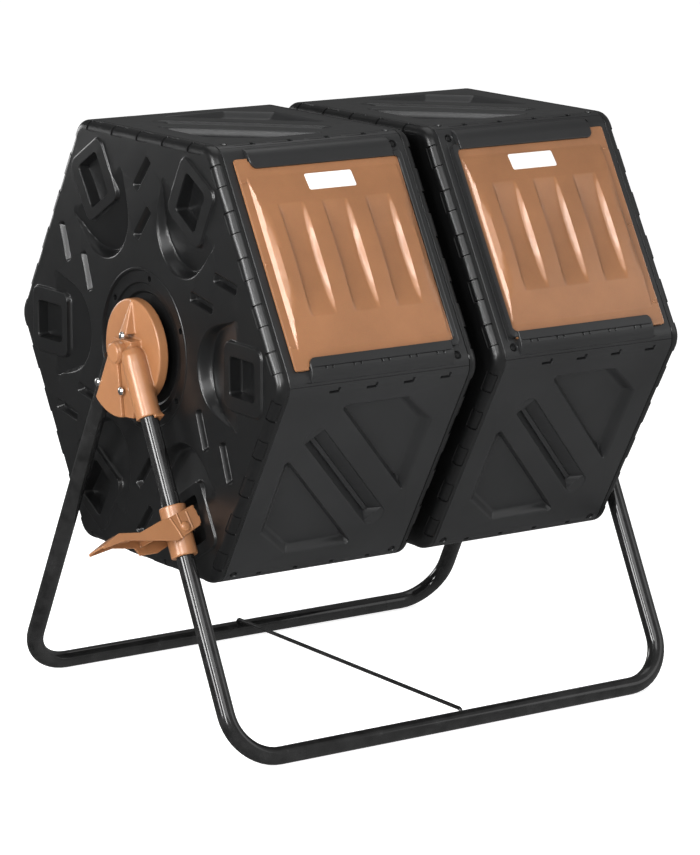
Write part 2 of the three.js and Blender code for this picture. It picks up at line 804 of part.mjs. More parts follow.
function latchLever() {
  const cheekEnd = 21;
  const cheek = (edge) => [
    ...LEVER_TOP, [14, 24.5], [cheekEnd, 12], [cheekEnd, -1], ...edge, [-LEVER_REACH, -12],
  ];
  const web = flatBar([
    ...LEVER_TOP.slice(0, 4), ...LEVER_TOP.slice(0, 4).reverse().map(([x, y]) => [x, y - WEB]),
  ], -CHEEK_OUT, CHEEK_OUT);
  const stop = flatBar([[-46, 5], [-43, 6], [-43, -10], [-46, -10]], -CHEEK_OUT, CHEEK_OUT);
  // The nose is narrow where it enters the pocket, and wide only low down, between the cheeks.
  const nosePlan = prism([
    [cheekEnd - 1.5, -CHEEK_OUT], [NOSE_X, -NOSE_HALF], [NOSE_X, NOSE_HALF], [cheekEnd - 1.5, CHEEK_OUT],
  ], 60).applyMatrix4(basis(UNIT_X, UNIT_Z, UNIT_Y.clone().negate())).translate(0, 35, 0);
  const noseSide = flatBar([
    [cheekEnd - 1.5, 3], [NOSE_X, 2], [NOSE_X, 27], [cheekEnd - 1.5, 24.5],
  ], -30, 30);
  const noseFront = prism([
    [-CHEEK_OUT, 0], [CHEEK_OUT, 0], [CHEEK_OUT, 10], [NOSE_HALF, 15], [NOSE_HALF, 30],
    [-NOSE_HALF, 30], [-NOSE_HALF, 15], [-CHEEK_OUT, 10],
  ], 60).rotateY(Math.PI / 2);
  const lever = join(
    flatBar(cheek(FRONT_EDGE), CHEEK_IN, CHEEK_OUT),
    flatBar(cheek(REAR_EDGE), -CHEEK_OUT, -CHEEK_IN),
    web,
    stop,
    common(common(nosePlan, noseSide), noseFront),
  );
  return onLatch(cut(lever, pinBore(PIN_R + GAP)));
}

// Rivet through both cheeks, the sleeve and the tube, with a dome at each end.
function latchPin() {
  const seat = CHEEK_OUT + GAP;
  return onLatch(turned([
    [0, -seat - 2.5], [4.5, -seat - 2], [6.5, -seat], [PIN_R, -seat], [PIN_R, seat],
    [6.5, seat], [4.5, seat + 2], [0, seat + 2.5],
  ], 12).rotateX(Math.PI / 2));
}

// ---------------------------------------------------------------- assembly

const tumbler = new THREE.Group();

function add(name, geometry, finish) {
  const mesh = new THREE.Mesh(geometry, new THREE.MeshStandardMaterial(finish));
  mesh.name = name;
  tumbler.add(mesh);
}

// A piece made for the left side, and its mirror image for the right.
function addPair(name, geometry, finish) {
  add(`${name}_left`, geometry, finish);
  add(`${name}_right`, mirrored(geometry), finish);
}

// A piece made for the right chamber, and its mirror image for the left.
function addChamberPair(name, geometry, finish) {
  add(`${name}_right`, geometry, finish);
  add(`${name}_left`, mirrored(geometry), finish);
}

// A panel made for the right chamber, and the same panel again on the left one.
function addToBothChambers(name, geometry, finish) {
  add(`${name}_right`, geometry, finish);
  add(`${name}_left`, geometry.clone().translate(-2 * CHAMBER_MID, 0, 0), finish);
}

function addDrum() {
  addPair('end_panel_outer', outerEndPanel().translate(-CHAMBER_OUT, 0, 0), BLACK_PLASTIC);
  addChamberPair('end_panel_inner', innerEndPanel().translate(CHAMBER_IN, 0, 0), BLACK_PLASTIC);
  for (const [face, angle] of Object.entries(CLOSED_FACES)) {
    addToBothChambers(`side_panel_${face}`, onFace(closedPanel(), angle), BLACK_PLASTIC);
  }
  addChamberPair('door_frame', onFace(doorFrame(), DOOR_FACE), BLACK_PLASTIC);
  for (const [name, upper] of [['door_rail_upper', 1], ['door_rail_lower', -1]]) {
    addChamberPair(name, onFace(rail(upper), DOOR_FACE), BLACK_PLASTIC);
  }
  addPair('axle_bush', axleBush().translate(-CHAMBER_OUT, 0, 0), BUSH_PLASTIC);
  add('coupling_ring', couplingRing(), BLACK_PLASTIC);
  COUPLING_ANGLES.forEach((angle, k) => {
    add(`coupling_bolt_${k + 1}`, couplingBolt(angle), BRIGHT_STEEL);
  });
}

function addDoors() {
  addChamberPair('door', onFace(door(), DOOR_FACE), COPPER_PLASTIC);
  addChamberPair('door_label', onFace(label(), DOOR_FACE), PALE_LABEL);
}

function addStand() {
  const latchHole = onLatch(pinBore(PIN_R + GAP));
  const rearHole = roundAlongX(HUB_SCREW_R + GAP, -PLATE_FACE, -DISC_FACE, 42.6, -44, 12);
  const frontLeg = legTube(-1);
  const backLeg = cut(legTube(1), rearHole);
  add('front_leg_left', cut(frontLeg, latchHole), BLACK_TUBE);
  add('front_leg_right', mirrored(frontLeg), BLACK_TUBE);
  addPair('back_leg', backLeg, BLACK_TUBE);
  add('ground_tube_front', groundTube(-1), BLACK_TUBE);
  add('ground_tube_back', groundTube(1), BLACK_TUBE);
  addPair('hub_disc', hubDisc(), COPPER_PLASTIC);
  addPair('rear_leg_plate', rearLegPlate(), COPPER_PLASTIC);
  for (const [name, y, z] of HUB_SCREWS) {
    addPair(`hub_screw_${name}`, hubScrew(y, z), BRIGHT_STEEL);
  }
  addPair('axle_retainer', axleRetainer(), BRIGHT_STEEL);
  addPair('axle_screw', axleScrew(), BRIGHT_STEEL);
  add('brace_rod', braceRod(), BLACK_TUBE);
}

function addLatch() {
  add('latch_sleeve', latchSleeve(), COPPER_PLASTIC);
  add('latch_lever', latchLever(), COPPER_PLASTIC);
  add('latch_pin', latchPin(), BRIGHT_STEEL);
}

addDrum();
addDoors();
addStand();
addLatch();

tumbler.updateMatrixWorld(true);
const extent = new THREE.Box3().setFromObject(tumbler);
const middle = extent.getCenter(new THREE.Vector3());
tumbler.position.set(-middle.x, -middle.y, -extent.min.z);

export default tumbler;
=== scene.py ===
# Twin-chamber compost tumbler: the moulded panels, sliding doors, hubs, latch and bent tubes, built in
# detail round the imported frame. Shapes are worked out in millimetres about the middle of the axle.
import math

import bpy
import numpy as np
from mathutils import Matrix, Vector
from mathutils.geometry import delaunay_2d_cdt


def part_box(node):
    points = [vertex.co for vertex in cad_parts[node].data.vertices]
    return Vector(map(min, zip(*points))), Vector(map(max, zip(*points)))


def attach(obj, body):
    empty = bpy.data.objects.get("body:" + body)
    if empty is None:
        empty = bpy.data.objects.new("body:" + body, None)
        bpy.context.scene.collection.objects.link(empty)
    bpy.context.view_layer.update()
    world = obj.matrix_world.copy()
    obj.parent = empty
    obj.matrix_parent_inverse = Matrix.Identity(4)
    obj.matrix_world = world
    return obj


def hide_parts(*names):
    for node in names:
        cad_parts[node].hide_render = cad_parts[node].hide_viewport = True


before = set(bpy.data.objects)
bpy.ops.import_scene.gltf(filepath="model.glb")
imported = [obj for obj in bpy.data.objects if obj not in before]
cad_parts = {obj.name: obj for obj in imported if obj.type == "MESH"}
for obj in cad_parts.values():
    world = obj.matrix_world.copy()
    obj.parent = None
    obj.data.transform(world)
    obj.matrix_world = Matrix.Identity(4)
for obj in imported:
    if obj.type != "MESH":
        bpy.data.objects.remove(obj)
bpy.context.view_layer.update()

MM = 0.001


def mm_box(node):
    """Lowest and highest corner of a CAD node, in millimetres in the row frame."""
    low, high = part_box(node)
    return np.array(low) / MM, np.array(high) / MM


# ---------------------------------------------------------------- dimensions

END_LOW, _ = mm_box("end_panel_outer_left")
_, END_HIGH = mm_box("end_panel_outer_right")
INNER_LOW, INNER_HIGH = mm_box("end_panel_inner_right")
CENTRE = (END_LOW + END_HIGH) / 2
APOTHEM = (END_HIGH[2] - END_LOW[2]) / 2
CHAMBER_OUT = END_HIGH[0] - CENTRE[0]
CHAMBER_IN = INNER_LOW[0] - CENTRE[0]
CHAMBER_MID = (CHAMBER_IN + CHAMBER_OUT) / 2
RIM = INNER_HIGH[0] - INNER_LOW[0]
CORNER_R = 28.0
RIM_R = 10.5
CORE = APOTHEM - CORNER_R  # apothem of the sharp hexagon inside the rounded one
FACE_HALF = CORE * math.tan(math.pi / 6)  # half width of a face's flat part
PANEL_HALF_X = CHAMBER_OUT - RIM - CHAMBER_MID - 0.35
PANEL_END = FACE_HALF + CORNER_R * math.pi / 6 - 0.2
WALL = 3.0
SIDES = {"left": -1, "right": 1}
FACES = {"back_upper": 30, "top": 90, "front_upper": 150, "front_lower": 210, "bottom": 270,
         "back_lower": 330}

DOOR_LOW, DOOR_HIGH = mm_box("door_right")
DOOR_IN = DOOR_LOW[0] - CENTRE[0]
DOOR_OUT = DOOR_HIGH[0] - CENTRE[0]
DOOR_HALF = 130.0
DOOR_SEAT = 0.6
DOOR_PLATE = 3.6

TUBE_R = 11.0
TUBE_BORE = TUBE_R + 0.3  # hole for a tube
LEG_X = 327.5
LEG_TOP_Y = 20.0
FOOT_Y = 256.0
FOOT_DROP = CENTRE[2] - TUBE_R
LEG_TILT = math.atan2(FOOT_Y - LEG_TOP_Y, FOOT_DROP)
BEND_R = 60.0
TUBE_END = 237.0  # middle of the joint between a leg and its ground tube
DISC_BACK = 302.0
HUB_FOOT = 314.0  # where the raised shapes on a hub disc start, just inside its face
PLATE_FACE = 340.0
LATCH_DROP = 225.0


# ---------------------------------------------------------------- material nodes

def shader(name, **inputs):
    """A new material with its Principled shader's own sockets set."""
    material = bpy.data.materials.new(name)
    material.use_nodes = True
    bsdf = material.node_tree.nodes["Principled BSDF"]
    for socket, value in inputs.items():
        bsdf.inputs[socket.replace("_", " ")].default_value = value
    return material, material.node_tree, bsdf


def add_node(tree, kind, **settings):
    node = tree.nodes.new(kind)
    for name, value in settings.items():
        if name in node.inputs:
            node.inputs[name].default_value = value
        else:
            setattr(node, name, value)
    return node


def object_noise(tree, scale, detail=3.0, roughness=0.5):
    """Noise fixed to the object in metres."""
    place = add_node(tree, "ShaderNodeTexCoord")
    noise = add_node(tree, "ShaderNodeTexNoise", Scale=scale, Detail=detail, Roughness=roughness)
    tree.links.new(place.outputs["Object"], noise.inputs["Vector"])
    return noise.outputs["Fac"]


def ramp(tree, value, stops):
    """Colour ramp through (position, colour) stops."""
    node = add_node(tree, "ShaderNodeValToRGB")
    for i, (position, colour) in enumerate(stops):
        stop = node.color_ramp.elements[i] if i < 2 else node.color_ramp.elements.new(position)
        stop.position = position
        stop.color = colour
    tree.links.new(value, node.inputs["Fac"])
    return node.outputs["Color"]


def remap(tree, value, low, high):
    node = add_node(tree, "ShaderNodeMapRange")
    node.inputs["From Min"].default_value = 0.3
    node.inputs["From Max"].default_value = 0.7
    node.inputs["To Min"].default_value = low
    node.inputs["To Max"].default_value = high
    tree.links.new(value, node.inputs["Value"])
    return node.outputs["Result"]


def bump(tree, bsdf, heights):
    """Chains bumps of (value, strength, distance in metres) into the shader's normal."""
    normal = None
    for value, strength, distance in heights:
        node = add_node(tree, "ShaderNodeBump", Strength=strength, Distance=distance)
        tree.links.new(value, node.inputs["Height"])
        if normal:
            tree.links.new(normal, node.inputs["Normal"])
        normal = node.outputs["Normal"]
    tree.links.new(normal, bsdf.inputs["Normal"])


def grey(level, tint=(1.0, 1.0, 1.0)):
    return (level * tint[0], level * tint[1], level * tint[2], 1.0)


def finish_shader(tree, bsdf, colour, cloud, roughness, bumps):
    """Links a base colour, a roughness that follows a cloud between two values, and a chain of bumps."""
    tree.links.new(colour, bsdf.inputs["Base Color"])
    tree.links.new(remap(tree, cloud, *roughness), bsdf.inputs["Roughness"])
    bump(tree, bsdf, bumps)


def moulded_black(name, level, roughness, gloss):
    """Black polypropylene: fine spark grain, faint flow marks, and a trace of dust."""
    material, tree, bsdf = shader(name, IOR=1.48, Specular_IOR_Level=gloss)
    tint = (0.98, 1.0, 1.03)
    cloud = object_noise(tree, 9.0, 4.0, 0.55)
    colour = ramp(tree, cloud, [(0.3, grey(level * 0.86, tint)), (0.7, grey(level * 1.16, tint))])
    scuff = object_noise(tree, 60.0, 5.0, 0.6)
    fine = object_noise(tree, 2600.0, 2.0, 0.5)
    soft = object_noise(tree, 140.0, 2.0, 0.5)
    finish_shader(tree, bsdf, colour, scuff, (roughness - 0.03, roughness + 0.04),
                  [(soft, 0.05, 0.0006), (fine, 0.06, 0.0002)])
    return material


def copper_plastic(name, base):
    """Satin copper-brown plastic with a fine pearl flake and swirled flow marks."""
    material, tree, bsdf = shader(name, Metallic=0.1, IOR=1.5, Coat_Weight=0.2, Coat_Roughness=0.2)
    deep = tuple(c * 0.9 for c in base) + (1.0,)
    pale = tuple(c * 1.08 for c in base) + (1.0,)
    colour = ramp(tree, object_noise(tree, 16.0, 4.0, 0.6), [(0.3, deep), (0.7, pale)])
    flake = add_node(tree, "ShaderNodeTexVoronoi", Scale=3200.0)
    place = add_node(tree, "ShaderNodeTexCoord")
    tree.links.new(place.outputs["Object"], flake.inputs["Vector"])
    mix = add_node(tree, "ShaderNodeMix", data_type="RGBA", blend_type="OVERLAY")
    mix.inputs["Factor"].default_value = 0.1
    tree.links.new(colour, mix.inputs["A"])
    tree.links.new(flake.outputs["Color"], mix.inputs["B"])
    soft = object_noise(tree, 120.0, 2.0, 0.5)
    finish_shader(tree, bsdf, mix.outputs["Result"], object_noise(tree, 90.0, 4.0, 0.6), (0.3, 0.4),
                  [(soft, 0.04, 0.0005), (flake.outputs["Distance"], 0.05, 0.0001)])
    return material


def gloss_paint(name):
    """Gloss black powder coat: orange peel under a clear top, slightly dusty."""
    material, tree, bsdf = shader(name, IOR=1.5, Coat_Weight=0.35, Coat_Roughness=0.06,
                                  Specular_IOR_Level=0.25)
    dust = object_noise(tree, 45.0, 5.0, 0.6)
    colour = ramp(tree, dust, [(0.35, grey(0.006)), (0.75, grey(0.016))])
    peel = object_noise(tree, 420.0, 2.0, 0.4)
    finish_shader(tree, bsdf, colour, dust, (0.12, 0.22), [(peel, 0.06, 0.0003)])
    return material


def zinc_steel(name):
    """Bright zinc plate with fine turning marks and a little bloom."""
    material, tree, bsdf = shader(name, Metallic=1.0)
    bloom = object_noise(tree, 240.0, 4.0, 0.6)
    colour = ramp(tree, bloom, [(0.3, (0.62, 0.62, 0.6, 1.0)), (0.7, (0.8, 0.8, 0.79, 1.0))])
    marks = object_noise(tree, 1500.0, 2.0, 0.5)
    finish_shader(tree, bsdf, colour, bloom, (0.18, 0.32), [(marks, 0.05, 0.0001)])
    return material


def label_film(name):
    """Blank off-white printed film."""
    material, tree, bsdf = shader(name, IOR=1.45)
    cloud = object_noise(tree, 70.0, 3.0, 0.5)
    colour = ramp(tree, cloud, [(0.3, (0.83, 0.82, 0.8, 1.0)), (0.7, (0.88, 0.87, 0.85, 1.0))])
    grain = object_noise(tree, 800.0, 2.0, 0.5)
    finish_shader(tree, bsdf, colour, cloud, (0.3, 0.4), [(grain, 0.03, 0.0001)])
    return material


PANEL_BLACK = moulded_black("panel_black", 0.013, 0.34, 0.45)
# Darker copy of the panel black for the end panels: painted shade that dims their broad end faces.
END_PANEL_SHADED_BLACK = moulded_black("end_panel_painted_shade_black", 0.0045, 0.31, 0.44)
DEEP_BLACK = moulded_black("deep_black", 0.006, 0.5, 0.3)
COPPER = copper_plastic("copper_plastic", (0.265, 0.116, 0.048))
TUBE_PAINT = gloss_paint("tube_paint")
ZINC = zinc_steel("zinc_steel")
LABEL = label_film("label_film")

# What a piece is made of, the body it rides on, and its material slot
PANEL = (PANEL_BLACK, "drum", "drum_plastic")
END_PANEL = (END_PANEL_SHADED_BLACK, "drum", "drum_plastic")
PANEL_SCREW = (DEEP_BLACK, "drum", "bright_steel")
HUB = (COPPER, "stand", "copper_plastic")
HUB_SCREW = (ZINC, "stand", "bright_steel")
STAND_TUBE = (TUBE_PAINT, "stand", "gloss_tube")
BRACE = (TUBE_PAINT, "brace", "gloss_tube")
LEVER = (COPPER, "latch", "copper_plastic")


# ---------------------------------------------------------------- objects

def make_object(name, points, faces, kind, stands_for=(), sharp=32.0):
    """Object from points in millimetres about the axle's middle, of one kind: (material, body, slot); the slot is not
    used.
    """
    material, body, slot = kind
    mesh = bpy.data.meshes.new(name)
    world = (np.asarray(points, float) + CENTRE) * MM
    mesh.from_pydata(world.tolist(), [], [list(map(int, face)) for face in faces])
    mesh.materials.append(material)
    mesh.update()
    piece = bpy.data.objects.new(name, mesh)
    bpy.context.scene.collection.objects.link(piece)
    shade(piece, sharp)
    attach(piece, body)
    if stands_for:
        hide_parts(*stands_for)
    return piece


def mould(name, relief, place, kind, node, thickness=WALL, mirrored=False):
    """Makes a relief's sheet into the piece that stands for a CAD node."""
    points, faces = relief.mesh(place, thickness)
    if mirrored:
        faces = [face[::-1] for face in faces]
    make_object(name, points, faces, kind, [node])


def shade(piece, sharp):
    """Smooth shading that keeps flats flat, with hard edges above an angle."""
    piece.data.shade_smooth()
    piece.data.set_sharp_from_angle(angle=math.radians(sharp))
    weighted = piece.modifiers.new("flats", "WEIGHTED_NORMAL")
    weighted.keep_sharp = True


# ---------------------------------------------------------------- flat outlines

def rounded(corners, radius, steps=5):
    """Counter-clockwise outline with its corners rounded; radius is one number or one for each."""
    corners = [np.array(c, float) for c in corners]
    count = len(corners)
    radii = [radius] * count if np.isscalar(radius) else radius
    points = []
    for i, corner in enumerate(corners):
        before = corners[i - 1] - corner
        after = corners[(i + 1) % count] - corner
        before /= np.linalg.norm(before)
        after /= np.linalg.norm(after)
        half = math.acos(np.clip(before @ after, -1, 1)) / 2
        reach = radii[i] / math.tan(half)
        start = corner + before * reach
        end = corner + after * reach
        middle = corner + (before + after) / np.linalg.norm(before + after) * radii[i] / math.sin(half)
        a = math.atan2(*(start - middle)[::-1])
        b = math.atan2(*(end - middle)[::-1])
        sweep = (b - a + math.pi) % (2 * math.pi) - math.pi
        for k in range(steps + 1):
            angle = a + sweep * k / steps
            points.append(middle + radii[i] * np.array([math.cos(angle), math.sin(angle)]))
    return np.array(points)


def turned(point, degrees):
    return placed(np.array([point], float), turn=degrees)[0]


def rounded_box(x0, x1, y0, y1, radius, steps):
    return rounded([(x0, y0), (x1, y0), (x1, y1), (x0, y1)], radius, steps)


def rectangle(width, height, radius, steps=4):
    w, h = width / 2, height / 2
    return rounded_box(-w, w, -h, h, radius, steps)


def circle(radius, sides=48):
    angles = np.arange(sides) * 2 * math.pi / sides
    return np.column_stack([radius * np.cos(angles), radius * np.sin(angles)])


def stadium(reach, half, steps=8):
    """Slot outline along the first axis, its end centres at plus and minus reach."""
    points = []
    for end in (1, -1):
        for k in range(steps + 1):
            angle = -math.pi / 2 + math.pi * k / steps + (0 if end > 0 else math.pi)
            points.append((end * reach + half * math.cos(angle), half * math.sin(angle)))
    return np.array(points)


def placed(outline, x=0.0, y=0.0, turn=0.0):
    """Outline turned by an angle in degrees, then moved."""
    c, s = math.cos(math.radians(turn)), math.sin(math.radians(turn))
    return outline @ np.array([[c, s], [-s, c]]) + np.array([x, y])


def hexagon(apothem, radius, steps=5):
    """Rounded hexagon with its corners on the first axis."""
    corner = apothem / math.cos(math.pi / 6)
    angles = np.arange(6) * math.pi / 3
    return rounded(np.column_stack([corner * np.cos(angles), corner * np.sin(angles)]), radius, steps)


def inside_distance(points, outline):
    """Distance of each point from an outline, positive inside it."""
    a = outline
    b = np.roll(outline, -1, axis=0)
    edge = b - a
    rel = points[:, None, :] - a[None]
    share = np.clip((rel * edge).sum(2) / np.maximum((edge * edge).sum(1), 1e-12), 0, 1)
    gap = np.linalg.norm(rel - share[..., None] * edge, axis=2).min(1)
    y = points[:, 1][:, None]
    crosses = (a[:, 1] > y) != (b[:, 1] > y)
    rise = np.where(edge[:, 1] == 0, 1e-12, edge[:, 1])
    at = a[:, 0] + (y - a[:, 1]) / rise * edge[:, 0]
    inside = (crosses & (points[:, 0][:, None] < at)).sum(1) % 2 == 1
    return np.where(inside, gap, -gap)


def inset(outline, distance):
    """Outline moved inwards, with the points that a tight corner would cross over left out."""
    before = np.roll(outline, 1, axis=0)
    after = np.roll(outline, -1, axis=0)
    run = after - before
    run /= np.maximum(np.linalg.norm(run, axis=1), 1e-9)[:, None]
    moved = outline + distance * np.column_stack([-run[:, 1], run[:, 0]])
    return moved[inside_distance(moved, outline) > distance - 0.04]


WALL_CURVE = [(0.0, 0.0), (0.18, 0.06), (0.36, 0.27), (0.64, 0.73), (0.82, 0.94), (1.0, 1.0)]


def wall(depth, run):
    """Profile of a drafted wall with rounded top and bottom edges, as (distance in, height)."""
    return [(t * run, depth * h) for t, h in WALL_CURVE]


def offset_corners(corners, distances):
    """Corners of a convex polygon after each side has moved in by its own distance."""
    count = len(corners)
    moved = []
    for i in range(count):
        lines = []
        for k in (i - 1, i):
            a, b = corners[k % count], corners[(k + 1) % count]
            along = (b - a) / np.linalg.norm(b - a)
            inward = np.array([-along[1], along[0]])
            lines.append((inward, inward @ a + distances[k % count]))
        (n0, c0), (n1, c1) = lines
        moved.append(np.linalg.solve(np.array([n0, n1]), np.array([c0, c1])))
    return moved


class Relief:
    """A moulded sheet drawn flat. Outlines carry the features' heights, and lines follow its bends."""

    def __init__(self, border):
        self.border = border
        self.loops = [border]
        self.lines = []
        self.features = []
        self.holes = []

    def feature(self, outline, change, insets):
        """change(points, distance inside, height) gives the new height inside the outline."""
        for distance in insets:
            loop = inset(outline, distance) if distance else outline
            if len(loop) > 2:
                self.loops.append(loop)
        self.features.append((outline, change))

    def press(self, outline, profile):
        """Adds a profile of (distance inside, height) to what is there."""
        distances, heights = zip(*profile)
        self.feature(outline, lambda p, d, h: h + np.interp(d, distances, heights), distances)

    def recess(self, corners, runs, depth, radius, floor=None):
        """A flat-floored recess whose walls each slope over their own run. floor(points) tilts its bottom."""
        corners = [np.array(c, float) for c in corners]
        outline = rounded(corners, radius, 5)
        steepest = min(runs)
        lines = []
        for i, corner in enumerate(corners):
            along = corners[(i + 1) % len(corners)] - corner
            along /= np.linalg.norm(along)
            inward = np.array([-along[1], along[0]])
            lines.append((inward, inward @ corner, runs[i]))
        for share, _ in WALL_CURVE[1:]:
            inner = offset_corners(corners, [run * share for run in runs])
            tight = min(np.linalg.norm(inner[i] - inner[i - 1]) for i in range(len(inner)))
            self.loops.append(rounded(inner, min(np.min(radius), tight * 0.3), 5))

        def change(points, distance, height):
            shares = [np.maximum(points @ inward - level, 1e-3) / run for inward, level, run in lines]
            shares.append(np.maximum(distance, 1e-3) / steepest)
            nearest = sum(share ** -8.0 for share in shares) ** (-1 / 8.0)
            reach = depth if floor is None else floor(points)
            return height - reach * np.interp(np.minimum(nearest, 1), *zip(*WALL_CURVE))

        self.feature(outline, change, [0])

    def hole(self, outline):
        self.loops.append(outline)
        self.holes.append(outline)

    def heights(self, points):
        height = np.zeros(len(points))
        for outline, change in self.features:
            low, high = outline.min(0), outline.max(0)
            near = np.where(((points >= low) & (points <= high)).all(1))[0]
            if not len(near):
                continue
            depth = inside_distance(points[near], outline)
            within = depth > 0
            chosen = near[within]
            height[chosen] = change(points[chosen], depth[within], height[chosen])
        return height

    def mesh(self, place, thickness):
        """Closed shell: place(points, heights) puts the flat drawing in space."""
        flat, edges = [], []
        for loop in self.loops:
            first = len(flat)
            flat.extend(map(tuple, loop))
            edges.extend((first + i, first + (i + 1) % len(loop)) for i in range(len(loop)))
        for line in self.lines:
            first = len(flat)
            flat.extend(map(tuple, line))
            edges.extend((first + i, first + i + 1) for i in range(len(line) - 1))
        result = delaunay_2d_cdt([Vector(p) for p in flat], edges, [], 0, 1e-4)
        points = np.array([tuple(v) for v in result[0]])
        faces = np.array([tuple(f) for f in result[2]])
        middles = points[faces].mean(1)
        keep = inside_distance(middles, self.border) > 0
        for outline in self.holes:
            keep &= inside_distance(middles, outline) < 0
        faces = faces[keep]
        ab = points[faces[:, 1]] - points[faces[:, 0]]
        ac = points[faces[:, 2]] - points[faces[:, 0]]
        clockwise = ab[:, 0] * ac[:, 1] - ab[:, 1] * ac[:, 0] < 0
        faces[clockwise] = faces[clockwise][:, ::-1]
        used = np.unique(faces)
        renumber = np.zeros(len(points), int)
        renumber[used] = np.arange(len(used))
        points, faces = points[used], renumber[faces]
        height = self.heights(points)
        front = place(points, height)
        back = place(points, height - thickness)
        count = len(points)
        directed = {(f[i], f[(i + 1) % 3]) for f in faces.tolist() for i in range(3)}
        rim = [(a, b, b + count, a + count) for a, b in directed if (b, a) not in directed]
        everything = faces.tolist() + (faces[:, ::-1] + count).tolist()
        everything += [(b, a, d, c) for a, b, c, d in rim]
        return np.vstack([front, back]), everything


# ---------------------------------------------------------------- where flat drawings go

def on_face(angle, middle_x):
    """Wraps a panel drawing (along the axle, up the face) round the drum at a face's angle."""
    c, s = math.cos(math.radians(angle)), math.sin(math.radians(angle))

    def place(points, height):
        sign = np.sign(points[:, 1])
        reach = np.abs(points[:, 1])
        turn = np.clip(reach - FACE_HALF, 0, None) / CORNER_R
        along = sign * (np.minimum(reach, FACE_HALF) + (CORNER_R + height) * np.sin(turn))
        normal = CORE + (CORNER_R + height) * np.cos(turn)
        y = normal * c + along * s
        z = normal * s - along * c
        return np.column_stack([points[:, 0] + middle_x, y, z])

    return place


def front_plane(x, s, normal):
    """Points above the flat of the front upper face: along the axle, up the face, and out from the axle."""
    c, sine = math.cos(math.radians(150)), math.sin(math.radians(150))
    return np.column_stack([x, normal * c + s * sine, normal * sine - s * c])


CORE_ANGLES = np.arange(6) * math.pi / 3
CORE_HEXAGON = CORE / math.cos(math.pi / 6) * np.column_stack([np.cos(CORE_ANGLES), np.sin(CORE_ANGLES)])
FRONT = on_face(FACES["front_upper"], 0)
DEEP = 100.0  # sheet thickness that marks a point as being on the underside


def nearest_on_core(points):
    a = CORE_HEXAGON
    edge = np.roll(a, -1, axis=0) - a
    rel = points[:, None, :] - a[None]
    share = np.clip((rel * edge).sum(2) / (edge * edge).sum(1), 0, 1)
    spots = a[None] + share[..., None] * edge
    best = np.linalg.norm(points[:, None, :] - spots, axis=2).argmin(1)
    return spots[np.arange(len(points)), best]


def on_end(plane_x, outward):
    """Puts an end panel's drawing on a plane across the axle and rolls its margin round the rim.
    The drawing's first axis points to the front of an outward-facing left panel."""

    def place(points, height):
        inside = inside_distance(points, CORE_HEXAGON) > 0
        near = np.where(inside[:, None], points, nearest_on_core(points))
        reach = np.linalg.norm(points - near, axis=1)
        normal = (points - near) / np.maximum(reach, 1e-9)[:, None]
        over = np.clip(reach - (CORNER_R - RIM_R), 0, None)
        turn = np.minimum(over / RIM_R, math.pi / 2)
        straight = np.clip(over - RIM_R * math.pi / 2, 0, None)
        radius = np.minimum(reach, CORNER_R - RIM_R) + (RIM_R + height) * np.sin(turn)
        depth = RIM_R - (RIM_R + height) * np.cos(turn) + straight
        flat = near + normal * radius[:, None]
        x = plane_x - outward * depth
        return np.column_stack([x, outward * flat[:, 0], flat[:, 1]])

    return place


# ---------------------------------------------------------------- drum: end panels

POCKET_DEPTH = 15.0
KNUCKLE_PITCH = 59.0
KNUCKLE_LENGTH = 27.0
RAMP_FOOT, RAMP_END = 138.0, 212.0


def smooth_loop(corners, steps=6):
    """Closed curve that passes smoothly through the corners."""
    corners = np.array(corners, float)
    count = len(corners)
    points = []
    for i in range(count):
        before, a, b, after = (corners[(i + k) % count] for k in (-1, 0, 1, 2))
        for k in range(steps):
            u = k / steps
            points.append(0.5 * (2 * a + (b - before) * u + (2 * before - 5 * a + 4 * b - after) * u * u
                                 + (3 * a - before - 3 * b + after) * u ** 3))
    return np.array(points)


RAMP_OUTLINE = smooth_loop([
    (216, -66), (221, -30), (221, 30), (216, 66), (193, 63), (168, 57), (146, 46), (130, 26), (124, 0), (130, -26),
    (146, -46), (168, -57), (193, -63),
])
PAD_OUTLINE = rounded_box(182, 270, -43.5, 43.5, 15, 6)
HOLE_OUTLINE = rounded_box(197, 255, -24.5, 24.5, 6, 4)


def ramp_height(turn):
    """The recess on the hub side of a pocket: deepest at its wall, and rising to nothing outwards."""
    c, s = math.cos(math.radians(turn)), math.sin(math.radians(turn))

    def change(points, distance, height):
        radial = points[:, 0] * c + points[:, 1] * s
        floor = POCKET_DEPTH * np.clip((RAMP_END - radial) / (RAMP_END - RAMP_FOOT), 0, 1)
        share = np.clip(distance / np.maximum(0.75 * floor, 0.5), 0, 1)
        curve = np.interp(share, *zip(*WALL_CURVE))
        return height - floor * curve

    return change


def pad_height(turn):
    """The raised pad round a pocket: level with the panel at the hub side, proud at the corner side."""
    c, s = math.cos(math.radians(turn)), math.sin(math.radians(turn))

    def change(points, distance, height):
        radial = points[:, 0] * c + points[:, 1] * s
        target = 0.4 + 2.2 * np.clip((radial - 182) / 60, 0, 1)
        run = np.where(target - height > 6, 5.0, 3.0)
        share = np.interp(np.clip(distance / run, 0, 1), *zip(*WALL_CURVE))
        return height + (target - height) * share

    return change


def add_pocket(relief, turn):
    """A pocket for the latch: its ramp, the pad round it, and its hole."""
    relief.feature(placed(RAMP_OUTLINE, turn=turn), ramp_height(turn),
                   [0, 1, 2.2, 3.6, 5.2, 7, 8.8, 10.4, 11.6, 14, 20, 30])
    relief.feature(placed(PAD_OUTLINE, turn=turn), pad_height(turn), [0, 0.6, 1.1, 1.9, 2.5, 3.0, 4.0, 5.0])
    sink = [(0, 0), (0.5, -0.5), (1.0, -2.5)]
    sink += [(run, rise - POCKET_DEPTH) for run, rise in ((2.2, 1.5), (3.0, -0.3), (4.5, -1.5))]
    relief.press(placed(HOLE_OUTLINE, turn=turn), sink)


